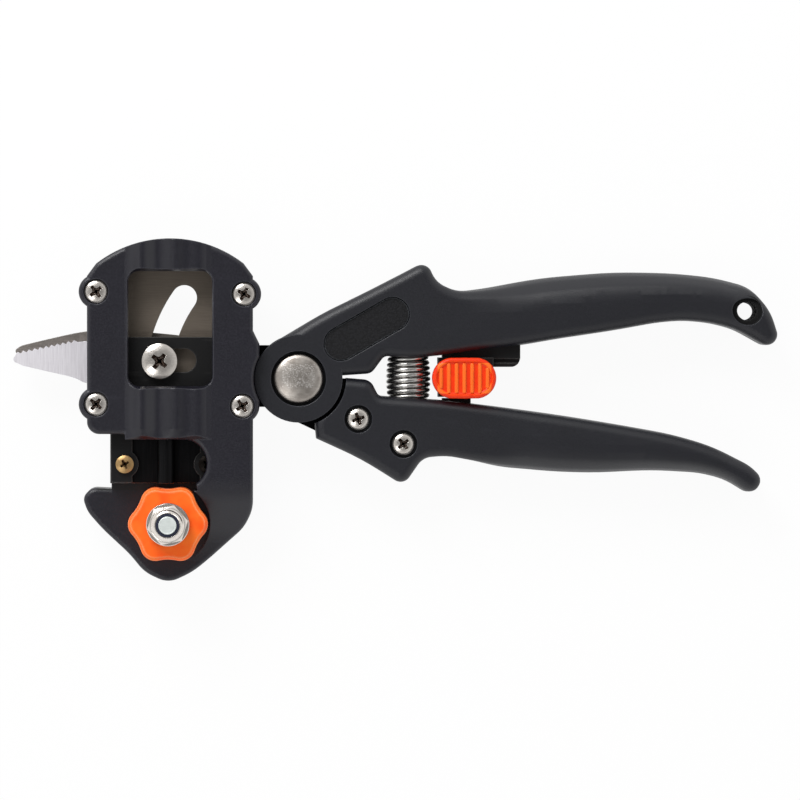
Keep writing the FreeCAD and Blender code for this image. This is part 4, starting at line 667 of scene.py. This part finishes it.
# %% Finishes by sub-part
FINISHES = [
    (handle_black, ["upper_handle", "lower_handle"]),
    (head_black, ["head_casting"]),
    (carrier_black, ["blade_carrier", "blade_clamps", "lock_rail", "lock_keeper", "lock_slider",
                     "spring_seat_upper", "spring_seat_lower"]),
    (inset_black, ["handle_inset"]),
    (plate_steel, ["frame_plate", "cam_roller", "pivot_washer"]),
    (lever_steel, ["lever_plate"]),
    (blade_steel, ["omega_blade"]),
    (nickel, ["cover_screws", "tang_screws", "tang_nuts", "pivot_bolt", "pivot_nut", "anvil_bolt",
              "anvil_washer", "anvil_nut", "grip_screws", "grip_nuts", "cam_screw", "cam_nut"]),
    (bronze, ["blade_screws"]),
    (ring_nylon, ["nut_collar"]),
    (wheel_orange, ["anvil_wheel"]),
    (button_orange, ["lock_button"]),
    (spring_steel, ["handle_spring"]),
]
for material, members in FINISHES:
    for member in members:
        nodes[member].data.materials.clear()
        nodes[member].data.materials.append(material)
print(sum(len(members) for _, members in FINISHES), "of", len(nodes), "sub-parts have a finish")

# %% [markdown]
# ## From a working mesh to a finished piece
# Every new piece goes the same way: its faces are turned outwards, its curved faces are shaded as curves and
# its corners kept, and then it is told which body carries it, which finish it has and which drawn sub-part it
# stands for. One helper does all of it, so no piece misses a step.
# A corner is kept where two faces meet at more than the crease angle. It is also kept, at a much smaller angle,
# all round a level face: otherwise the fillet beside it pulls the face's shading askew, in streaks.


# %% Finishing a piece
LEVEL = 0.9996
LEVEL_CREASE = 2.0


def finished(bm, name, body, material, stands_for=(), crease=35):
    """The mesh as an object that rides on its body, in place of the sub-parts that it stands for."""
    bmesh.ops.remove_doubles(bm, verts=bm.verts, dist=0.0005 * MM)
    bmesh.ops.recalc_face_normals(bm, faces=bm.faces)
    for face in bm.faces:
        face.smooth = True
    for edge in bm.edges:
        beside_level = any(abs(face.normal.z) > LEVEL for face in edge.link_faces)
        limit = LEVEL_CREASE if beside_level else crease
        edge.smooth = edge.calc_face_angle(0) < math.radians(limit)
    mesh = plain_mesh(name, bm)
    mesh.materials.append(material)
    piece = in_scene(name, mesh)
    if body:
        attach(piece, body)
    if stands_for:
        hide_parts(*stands_for)
    print(name, len(mesh.polygons), "faces")
    return piece


# %% [markdown]
# ## Turned pieces
# Screws, washers and bolt ends are turned on a lathe, and so are these: half of the outline is drawn as a few
# points, out from the axis and up, and spun once round. A rounded head falls off towards its side by a power
# of the way out, worked out by a small helper, so that every head is a height and a width and no more.


# %% Turning
CROWN_POWER = 2.3


def crown_level(out, radius, low, high):
    """The crown's height at this way out. A higher power would make its middle flatter."""
    return low + (high - low) * (1 - (out / radius) ** CROWN_POWER)


def crown_points(radius, low, high, steps=8):
    """Points over a crown, from its side up to its middle."""
    ways_out = [radius * (1 - step / steps) for step in range(steps + 1)]
    return [(out, crown_level(out, radius, low, high)) for out in ways_out]


def turned(profile, steps=44):
    """A mesh spun from half an outline, given from its lower end up as (out from the axis, height) in mm."""
    bm = bmesh.new()
    verts = [bm.verts.new((out * MM, 0, height * MM)) for out, height in profile]
    edges = [bm.edges.new(pair) for pair in zip(verts, verts[1:])]
    bmesh.ops.spin(bm, geom=verts + edges, cent=(0, 0, 0), axis=(0, 0, 1), angle=math.tau, steps=steps,
                   use_merge=True, use_duplicate=False)
    bmesh.ops.remove_doubles(bm, verts=bm.verts, dist=0.001 * MM)
    bmesh.ops.recalc_face_normals(bm, faces=bm.faces)
    return bm


print("a crown has", len(crown_points(3, 0, 1)), "points")

# %% [markdown]
# ## The driver's cross
# The darkened faces in the cross are painted shade.
# Each screw has a cross for the driver. Drawing it into a round head face by face is fiddly, so it is cut as
# a press would do it: a tapering plug in the shape of a cross is taken away with a Boolean modifier, and the
# result is kept as a plain mesh. Both are in millimetres for that step, because the modifier takes an edge of
# a few hundredths of a millimetre, written in metres, for none. Faces that the plug left are marked, and the
# finish darkens them.
# The cross is a grid of three squares by three without its corner squares. Its inner lines lie a third of the
# way out and the middles of its outer squares two thirds, so a half tells them apart.


# %% A cross to cut with
HALF_OUT = 0.5
FOOT_SHARE = 0.5


def round_off(bm, edges, radius, segments):
    """Rounds these edges."""
    bmesh.ops.bevel(bm, geom=edges, offset=radius, affect="EDGES", segments=segments, profile=0.5, material=-1)


def cross_plug(width, reach, low, high):
    """A cross that tapers towards its lower end, as an object."""
    bm = bmesh.new()
    bmesh.ops.create_grid(bm, x_segments=3, y_segments=3, size=1.0)
    middles = {face: face.calc_center_median() for face in bm.faces}
    corners = [face for face, middle in middles.items() if min(abs(middle.x), abs(middle.y)) > HALF_OUT]
    bmesh.ops.delete(bm, geom=corners, context="FACES")
    for vert in bm.verts:
        for axis in (0, 1):
            inner = abs(vert.co[axis]) < HALF_OUT
            vert.co[axis] = math.copysign(width / 2 if inner else reach, vert.co[axis])
        vert.co.z = high
    sides = bmesh.ops.extrude_face_region(bm, geom=bm.faces[:])
    foot = [item for item in sides["geom"] if isinstance(item, bmesh.types.BMVert)]
    bmesh.ops.translate(bm, verts=foot, vec=(0, 0, low - high))
    bmesh.ops.scale(bm, verts=foot, vec=(FOOT_SHARE, FOOT_SHARE, 1))
    inner_edges = [
        e for e in bm.edges
        if abs(e.verts[0].co.z - e.verts[1].co.z) > (high - low) / 2
        and abs(abs(e.verts[0].co.x) - abs(e.verts[0].co.y)) < width / 4
    ]
    round_off(bm, inner_edges, width * 0.5, 2)
    bmesh.ops.recalc_face_normals(bm, faces=bm.faces)
    return in_scene("plug", plain_mesh("plug", bm))


print("the cross tapers to", FOOT_SHARE, "of its size")


# %% Cut and mark
def worked(bm, tool, operation):
    """The mesh with the tool's shape taken away, or only what both have in common."""
    blank = in_scene("blank", plain_mesh("blank", bm))
    for part in (blank.data, tool.data):
        part.transform(Matrix.Scale(1 / MM, 4))
    cut = blank.modifiers.new("cut", "BOOLEAN")
    cut.operation = operation
    cut.solver = "MANIFOLD"
    cut.object = tool
    view = bpy.context.evaluated_depsgraph_get()
    result = bpy.data.meshes.new_from_object(blank.evaluated_get(view))
    bpy.data.objects.remove(blank)
    bpy.data.objects.remove(tool)
    result.transform(Matrix.Scale(MM, 4))
    made = bmesh.new()
    made.from_mesh(result)
    return made


UNDER_CROWN = 0.05


def mark_recess(bm, reach, floor, crown):
    """Marks the faces inside the cross: near the axis, not under its floor, and a little under the crown."""
    layer = bm.faces.layers.float.new("recess")
    count = 0
    for face in bm.faces:
        middle = face.calc_center_median() / MM
        out = math.hypot(middle.x, middle.y)
        if out < reach and floor < middle.z < crown_level(out, *crown) - UNDER_CROWN:
            face[layer] = 1.0
            count += 1
    return count


print("faces count as inside the cross from", UNDER_CROWN, "mm under the crown")


# %% A pan head screw
DOME_START = 0.7
POINT = 0.2
LOWER_CORNER = (0.97, 0.08)
ARM_WIDTH = 0.5
OVER_CROWN = 0.15
WIDER, DEEPER = 1.05, 1.02


def screw(head, crown, seat, shank, end, cross, depth):
    """A pan head screw that stands on its axis: radius of the head, heights of its crown and seat, shank's
    radius and end, and the cross's reach and depth, all in mm."""
    rise = crown - seat
    dome = (head, seat + rise * DOME_START, crown)
    profile = [(0, end), (shank * (1 - POINT), end), (shank, end + shank * POINT), (shank, seat)]
    profile += [(head * LOWER_CORNER[0], seat), (head, seat + rise * LOWER_CORNER[1]), *crown_points(*dome)]
    top = crown + rise * OVER_CROWN
    plug = cross_plug(cross * ARM_WIDTH * MM, cross * MM, (crown - depth) * MM, top * MM)
    cut = worked(turned(profile), plug, "DIFFERENCE")
    marked = mark_recess(cut, cross * WIDER, crown - depth * DEEPER, dome)
    print("cross with", marked, "faces")
    return cut


def placed(pattern, places):
    """One mesh with a copy of the pattern at each place (X, Y in mm, turn in degrees)."""
    mesh = plain_mesh("pattern", pattern)
    bm = bmesh.new()
    for x, y, degrees in places:
        before = set(bm.verts)
        bm.from_mesh(mesh)
        fresh = [vert for vert in bm.verts if vert not in before]
        bmesh.ops.rotate(bm, verts=fresh, cent=(0, 0, 0), matrix=Matrix.Rotation(math.radians(degrees), 3, "Z"))
        bmesh.ops.translate(bm, verts=fresh, vec=(x * MM, y * MM, 0))
    bpy.data.meshes.remove(mesh)
    return bm


def levels(node):
    """How low and how high a drawn sub-part reaches, in mm."""
    low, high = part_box(node)
    return low.z / MM, high.z / MM


# %% The screws that show
COVER_SCREWS = [(-56.4, 24.3, 38), (-15.2, 23.6, 62), (-56.4, -7.05, 50), (-15.7, -7.6, 35)]
cover_blank = screw(head=3.25, crown=22.4, seat=20.2, shank=1.5, end=9.2, cross=2.3, depth=1.3)
finished(placed(cover_blank, COVER_SCREWS), "cover_screw_heads", "frame", nickel, ["cover_screws"])

GRIP_SCREWS = [(16.7, -11.3, 20), (29.3, -18.3, 40)]
end, crown = levels("grip_screws")
grip_blank = screw(head=3.1, crown=crown, seat=crown - 2.4, shank=2.0, end=end, cross=2.15, depth=1.4)
finished(placed(grip_blank, GRIP_SCREWS), "grip_screw_heads", "lever", nickel, ["grip_screws"])

cam_low, cam_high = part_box("cam_screw")
cam_middle = (cam_low + cam_high) / 2
CAM_TURN = 52
end, crown = levels("cam_screw")
cam_blank = screw(head=4.95, crown=crown, seat=crown - 3.0, shank=2.5, end=end, cross=2.9, depth=1.7)
cam_place = [(cam_middle.x / MM, cam_middle.y / MM, CAM_TURN)]
finished(placed(cam_blank, cam_place), "cam_screw_head", "lever", nickel, ["cam_screw"])

BLADE_SCREWS = [(-48.5, -23.9, 30), (-25.4, -23.9, 55)]
end, crown = levels("blade_screws")
blade_blank = screw(head=2.5, crown=crown, seat=crown - 1.6, shank=1.25, end=end, cross=1.55, depth=1.0)
finished(placed(blade_blank, BLADE_SCREWS), "blade_screw_heads", "carrier", bronze, ["blade_screws"])

# %% [markdown]
# ## The pivot's head
# The pivot is one large bolt with a low dome, turned like the screws: a wide, flat crown on a soft rim.

# %% Pivot bolt
PIVOT_HEAD = 7.0
PIVOT_SHANK = 4.0
RECESS_FLOOR = 14.0
DOME_RADIUS = PIVOT_HEAD - 0.5
DOME_RISE = 1.0
RIM_RISE = 0.7
end, crown = levels("pivot_bolt")
rim = crown - (RIM_RISE + DOME_RISE)
profile = [
    (0, end), (PIVOT_SHANK - 0.5, end), (PIVOT_SHANK, end + 0.5), (PIVOT_SHANK, RECESS_FLOOR),
    (PIVOT_HEAD - 0.2, RECESS_FLOOR), (PIVOT_HEAD, RECESS_FLOOR + 0.2), (PIVOT_HEAD, rim),
    (PIVOT_HEAD - 0.12, rim + 0.35), (DOME_RADIUS, rim + RIM_RISE),
]
for out in (5.6, 4.5, 3.2, 1.8, 0.8, 0):
    profile.append((out, rim + RIM_RISE + DOME_RISE * (1 - (out / DOME_RADIUS) ** 2)))
finished(turned(profile, steps=64), "pivot_head", "frame", pivot_nickel, ["pivot_bolt"])

# %% [markdown]
# ## Washer, locking nut and bolt end
# The wheel turns on a bolt that ends in a locking nut. The nut's metal closes over a ring of nylon, which
# shows as a thin dark line round the bolt. The nut is a six-sided bar that a lathe has chamfered: it is what
# the bar and the turned shape have in common.


# %% Washer and nut
def hexagonal(flats, low, high):
    """A six-sided bar with flats along X, as a mesh."""
    bm = bmesh.new()
    radius = flats / math.sqrt(3) * MM
    depth = (high - low) * MM
    bmesh.ops.create_cone(bm, cap_ends=True, segments=6, radius1=radius, radius2=radius, depth=depth)
    bmesh.ops.rotate(bm, verts=bm.verts, cent=(0, 0, 0), matrix=Matrix.Rotation(math.radians(30), 3, "Z"))
    bmesh.ops.translate(bm, verts=bm.verts, vec=(0, 0, (low + high) / 2 * MM))
    return bm


ON_WHEEL = [(-36.4, -40.5, 12)]
WASHER_FOOT = 24.2
NUT_FOOT = 25.8
NUT_FLATS = 10
profile = [(3.1, WASHER_FOOT), (5.9, WASHER_FOOT), (6.0, 24.35), (6.0, 25.6), (5.85, NUT_FOOT), (3.3, NUT_FOOT),
           (3.1, 25.6), (3.1, WASHER_FOOT)]
washer = placed(turned(profile, steps=56), ON_WHEEL)
finished(washer, "wheel_washer", "frame", nickel, ["anvil_washer"])

profile = [(3.05, NUT_FOOT), (5.0, NUT_FOOT), (5.77, 26.2), (5.77, 29.0), (5.0, 29.5), (4.6, 29.6), (4.3, 29.9),
           (4.25, 30.9), (4.0, 31.35), (3.6, 31.55), (3.35, 31.5), (3.3, 31.2), (3.3, 30.4), (3.05, 30.3),
           (3.05, NUT_FOOT)]
lathe = in_scene("lathe", plain_mesh("lathe", turned(profile, steps=56)))
nut = placed(worked(hexagonal(NUT_FLATS, NUT_FOOT, 31.7), lathe, "INTERSECT"), ON_WHEEL)
finished(nut, "wheel_nut", "frame", nickel, ["anvil_nut"], crease=25)

# %% Nylon ring, bolt end and bolt head
profile = [(3.02, 30.4), (3.3, 30.4), (3.34, 31.3), (3.2, 31.6), (2.52, 31.6), (2.52, 31.3), (3.02, 31.2),
           (3.02, 30.4)]
ring = placed(turned(profile, steps=48), ON_WHEEL)
finished(ring, "nut_ring", "frame", ring_nylon, ["nut_collar"])

BOLT_HEAD_HEIGHT = 4.0
SHANK_START = 3.0
foot, end = levels("anvil_bolt")
profile = [(2.95, foot + SHANK_START), (3.0, 30.8), (3.0, 31.1), (2.5, 31.2), (2.48, end - 0.2),
           (2.3, end - 0.02), (2.1, end - 0.06), (0, end - 0.06)]
bolt = turned(profile, steps=48)
bolt.from_mesh(plain_mesh("bolt_head", hexagonal(NUT_FLATS, foot, foot + BOLT_HEAD_HEIGHT)))
finished(placed(bolt, ON_WHEEL), "wheel_bolt", "frame", zinc, ["anvil_bolt"])
print("bolt ends at", round(end, 1), "mm")

# %% [markdown]
# ## The handle spring
# The spring is a barrel: its turns are wider in the middle, close together at both ends and further apart
# between them. A ring of wire is spun about the spring's axis and moved along it at the same time, which
# gives a helix. Three such spins follow each other, for the lower end, the working turns and the upper end.
# Then each ring of wire is moved out or in, as the barrel has it.

# %% Spring
SPRING_PLACE = Vector((30.9, -8.4, 9.0)) * MM
SPRING_LENGTH = 16.5 * MM
WIRE = 1.38 * MM
MIDDLE_RADIUS = 5.6 * MM
END_RADIUS = 4.55 * MM
END_TURNS = 1
WORKING_TURNS = 8
STEPS = 30
END_PITCH = 1.42 * MM
BARREL_POWER = 0.8
working_pitch = (SPRING_LENGTH - WIRE - 2 * END_TURNS * END_PITCH) / WORKING_TURNS

bm = bmesh.new()
wire_ring = bmesh.ops.create_circle(bm, segments=12, radius=WIRE / 2)["verts"]
bmesh.ops.translate(bm, verts=wire_ring, vec=(END_RADIUS, WIRE / 2, 0))
last = wire_ring + bm.edges[:]
for turns, pitch in ((END_TURNS, END_PITCH), (WORKING_TURNS, working_pitch), (END_TURNS, END_PITCH)):
    spun = bmesh.ops.spin(bm, geom=last, cent=(0, 0, 0), axis=(0, 1, 0), dvec=(0, pitch / STEPS, 0),
                          angle=math.tau * turns, steps=STEPS * turns, use_merge=False, use_duplicate=False)
    last = spun["geom_last"]
bmesh.ops.holes_fill(bm, edges=[edge for edge in bm.edges if edge.is_boundary])
for vert in bm.verts:
    share = max(0.0, min(1.0, vert.co.y / SPRING_LENGTH))
    bulge = (MIDDLE_RADIUS - END_RADIUS) * math.sin(math.pi * share) ** BARREL_POWER
    outwards = Vector((vert.co.x, 0, vert.co.z)).normalized()
    vert.co += outwards * bulge
bmesh.ops.translate(bm, verts=bm.verts, vec=SPRING_PLACE)
spring = finished(bm, "barrel_spring", None, spring_steel, crease=60)
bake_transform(spring)
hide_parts("handle_spring")
print("working turns every", round(working_pitch / MM, 2), "mm")

# %% [markdown]
# ## The lock button
# The button is an oval with a rim and seven soft ridges for the thumb. A circle pulled apart gives the oval;
# it is drawn up, its top edge is rounded, and its face is set in from the rim and pushed down. The ridges are
# bars with round edges that rise out of that face, shorter at the two ends.

# %% Lock button
BUTTON_PLACE = Vector((46.3, 0.1, 14.5)) * MM
BUTTON_LENGTH = 17.9 * MM
BUTTON_WIDTH = 11.4 * MM
BUTTON_HEIGHT = 5.0 * MM
TOP_ROUNDING = 0.8 * MM
RIM = 0.25 * MM
RIM_SLOPE = 0.35 * MM
FIELD_DEPTH = 0.55 * MM
FIELD_ROUNDING = 0.25 * MM


def level_edges(bm, level):
    """The edges that lie at this height."""
    return [e for e in bm.edges if all(abs(v.co.z - level) < 0.001 * MM for v in e.verts)]


def pulled_oval(bm, length, width):
    """An oval face: a circle whose halves are pulled apart along X."""
    verts = bmesh.ops.create_circle(bm, cap_ends=True, segments=50, radius=width / 2)["verts"]
    for side in (-1, 1):
        half = [vert for vert in verts if vert.co.x * side > 0]
        bmesh.ops.translate(bm, verts=half, vec=(side * (length - width) / 2, 0, 0))
    return bm.faces[:]


print("an oval of", BUTTON_LENGTH / MM, "by", BUTTON_WIDTH / MM, "mm")

# %% Its body, field and ridges
RIDGES = 7
RIDGE_PITCH = 2.17 * MM
RIDGE_WIDTH = 0.95 * MM
RIDGE_HEIGHT = 1.0 * MM
RIDGE_LENGTH = 8.4 * MM
END_RIDGE_LENGTH = 5.8 * MM
RIDGE_ROUNDING = 0.36 * MM
bm = bmesh.new()
base = pulled_oval(bm, BUTTON_LENGTH, BUTTON_WIDTH)
raised = bmesh.ops.extrude_face_region(bm, geom=base)
top_verts = [item for item in raised["geom"] if isinstance(item, bmesh.types.BMVert)]
bmesh.ops.translate(bm, verts=top_verts, vec=(0, 0, BUTTON_HEIGHT))
round_off(bm, level_edges(bm, BUTTON_HEIGHT), TOP_ROUNDING, 5)
top_face = max(bm.faces, key=lambda face: face.calc_center_median().z)
bmesh.ops.inset_region(bm, faces=[top_face], thickness=RIM, use_even_offset=True)
bmesh.ops.inset_region(bm, faces=[top_face], thickness=RIM_SLOPE, use_even_offset=True)
bmesh.ops.translate(bm, verts=top_face.verts, vec=(0, 0, -FIELD_DEPTH))
round_off(bm, list(top_face.edges), FIELD_ROUNDING, 2)
field_top = BUTTON_HEIGHT - FIELD_DEPTH
for place in range(RIDGES):
    offset = (place - (RIDGES - 1) / 2) * RIDGE_PITCH
    length = RIDGE_LENGTH if 0 < place < RIDGES - 1 else END_RIDGE_LENGTH
    bar = bmesh.ops.create_cube(bm, size=1.0)["verts"]
    bmesh.ops.scale(bm, verts=bar, vec=(RIDGE_WIDTH, length, RIDGE_HEIGHT))
    bmesh.ops.translate(bm, verts=bar, vec=(offset, 0, field_top))
    bar_edges = list({edge for vert in bar for edge in vert.link_edges})
    round_off(bm, bar_edges, RIDGE_ROUNDING, 3)
bmesh.ops.translate(bm, verts=bm.verts, vec=BUTTON_PLACE)
finished(bm, "lock_thumb_button", "lock", button_orange, ["lock_button"], crease=50)

# %% [markdown]
# ## Rounded grips
# The drawn handles are slabs with rounded edges, and the real grips are rounder: their faces are crowned and
# their sides bulge, as a hand likes them. A copy of the drawn handle is cut into a fine net by many planes,
# and then every cross-section of the grip is eased from a rectangle towards an ellipse. The outline that the
# photograph shows is at half height, so it stays where it was, and so do the pivot end and its recesses.
# The palm's side is the rounder one. The side that faces the other handle keeps most of its corner.


# %% Cutting a net
NET = 2.5 * MM
NET_UP = 2.0 * MM
MARGIN = 1 * MM


def cut_by(bm, axis, low, high, step, beyond=None):
    """Cuts the mesh by a row of planes across one axis, only where X is beyond the given place."""
    normal = Vector((0, 0, 0))
    normal[axis] = 1
    count = 0
    level = low
    while level <= high:
        faces = [f for f in bm.faces if beyond is None or f.calc_center_median().x > beyond]
        parts = faces + list({e for f in faces for e in f.edges}) + list({v for f in faces for v in f.verts})
        bmesh.ops.bisect_plane(bm, geom=parts, dist=0.0005 * MM, plane_co=normal * level, plane_no=normal)
        level += step
        count += 1
    return count


print("a net of", NET / MM, "mm, and of", NET_UP / MM, "mm up the sides")

# %% Sections of a grip
NEAR_STATION = 0.55


def section_ends(bm, start, end, step):
    """The lowest and highest Y of the grip at stations along X, from the points near each."""
    stations = []
    place = start
    while place <= end:
        across = [v.co.y for v in bm.verts if abs(v.co.x - place) < NEAR_STATION * step]
        if across:
            stations.append((place, min(across), max(across)))
        place += step
    return stations


def between(stations, place):
    """The section's lower and upper end at any place along X."""
    if place <= stations[0][0]:
        return stations[0][1:]
    for (x0, low0, high0), (x1, low1, high1) in zip(stations, stations[1:]):
        if x0 <= place <= x1:
            share = (place - x0) / (x1 - x0)
            return low0 + (low1 - low0) * share, high0 + (high1 - high0) * share
    return stations[-1][1:]


print("sections every", NET / MM, "mm")


# %% Easing the grips
INNER_SHARE = 0.2
LEAST_HALF = 2 * MM


def eased_grip(node, name, body, start, full, tip, roundness, palm, extra=None):
    """A copy of a drawn handle whose grip is rounder. It sets in at start and is complete from full, and it
    fades out over the tip. The palm's side is 1 for the side towards +Y and -1 for the other."""
    bm = bmesh.new()
    bm.from_mesh(nodes[node].data)
    bmesh.ops.remove_doubles(bm, verts=bm.verts, dist=0.002 * MM)
    low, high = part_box(node)
    middle = (low.z + high.z) / 2
    half_depth = (high.z - low.z) / 2
    cuts = cut_by(bm, 0, start, high.x - MARGIN, NET)
    cuts += cut_by(bm, 1, low.y + MARGIN, high.y - MARGIN, NET, beyond=start)
    cuts += cut_by(bm, 2, low.z + MARGIN, high.z - MARGIN, NET_UP, beyond=start)
    stations = section_ends(bm, start, high.x, NET)
    for vert in bm.verts:
        if vert.co.x < start:
            continue
        share = min(1.0, (vert.co.x - start) / (full - start))
        fade = min(1.0, max(0.0, (high.x - vert.co.x) / tip))
        ease = roundness * share * share * (3 - 2 * share) * fade
        floor_y, top_y = between(stations, vert.co.x)
        centre = (floor_y + top_y) / 2
        half = max((top_y - floor_y) / 2, LEAST_HALF)
        across = max(-1.0, min(1.0, (vert.co.y - centre) / half))
        up = max(-1.0, min(1.0, (vert.co.z - middle) / half_depth))
        ease *= INNER_SHARE + (1 - INNER_SHARE) * (1 + palm * across) / 2
        vert.co.y = centre + half * across * math.sqrt(1 - ease * up * up / 2)
        vert.co.z = middle + half_depth * up * math.sqrt(1 - ease * across * across / 2)
    if extra:
        bm.from_mesh(extra)
    print(name, cuts, "cuts and", len(stations), "stations")
    finished(bm, name, body, handle_black, [node], crease=40)


# %% [markdown]
# ## The horn beside the boss
# The lower handle reaches round the pivot boss with a short horn, and a thin web at its foot closes the gap to
# the boss, so that no daylight shows there. The web is a small rectangle spun a few degrees about the pivot.

# %% Web and grips
WEB_INNER, WEB_OUTER = 12.34, 13.9
WEB_LOW, WEB_HIGH = 1.5, 8.5
WEB_START = math.radians(-0.4)
WEB_SWEEP = math.radians(-17)
web = bmesh.new()
outline = ((WEB_INNER, WEB_LOW), (WEB_OUTER, WEB_LOW), (WEB_OUTER, WEB_HIGH), (WEB_INNER, WEB_HIGH))
corners = [web.verts.new((out * MM, 0, up * MM)) for out, up in outline]
section = web.faces.new(corners)
bmesh.ops.rotate(web, verts=corners, cent=(0, 0, 0), matrix=Matrix.Rotation(WEB_START, 3, "Z"))
bmesh.ops.spin(web, geom=[section, *section.edges, *corners], cent=(0, 0, 0), axis=(0, 0, 1), angle=WEB_SWEEP,
               steps=8, use_merge=False, use_duplicate=False)
eased_grip("upper_handle", "upper_grip", "frame", start=38 * MM, full=66 * MM, tip=12 * MM,
           roundness=1.0, palm=1)
eased_grip("lower_handle", "lower_grip", "lever", start=44 * MM, full=66 * MM, tip=8 * MM,
           roundness=0.9, palm=-1, extra=plain_mesh("web", web))

# %% [markdown]
# ## The lock's slider
# Behind the orange button sits its black slider, with an arm and a toe that hook the lower handle. Next to
# none of it shows left of the button, so the drawn block and its arm are cut a little shorter at that end.

# %% Slider
SLIDER_START = 39.2 * MM
bm = bmesh.new()
bm.from_mesh(nodes["lock_slider"].data)
bmesh.ops.remove_doubles(bm, verts=bm.verts, dist=0.002 * MM)
parts = bm.verts[:] + bm.edges[:] + bm.faces[:]
bmesh.ops.bisect_plane(bm, geom=parts, dist=0.0005 * MM, plane_co=(SLIDER_START, 0, 0), plane_no=(1, 0, 0),
                       clear_inner=True)
bmesh.ops.holes_fill(bm, edges=[edge for edge in bm.edges if edge.is_boundary])
finished(bm, "lock_slide_block", "lock", carrier_black, ["lock_slider"])
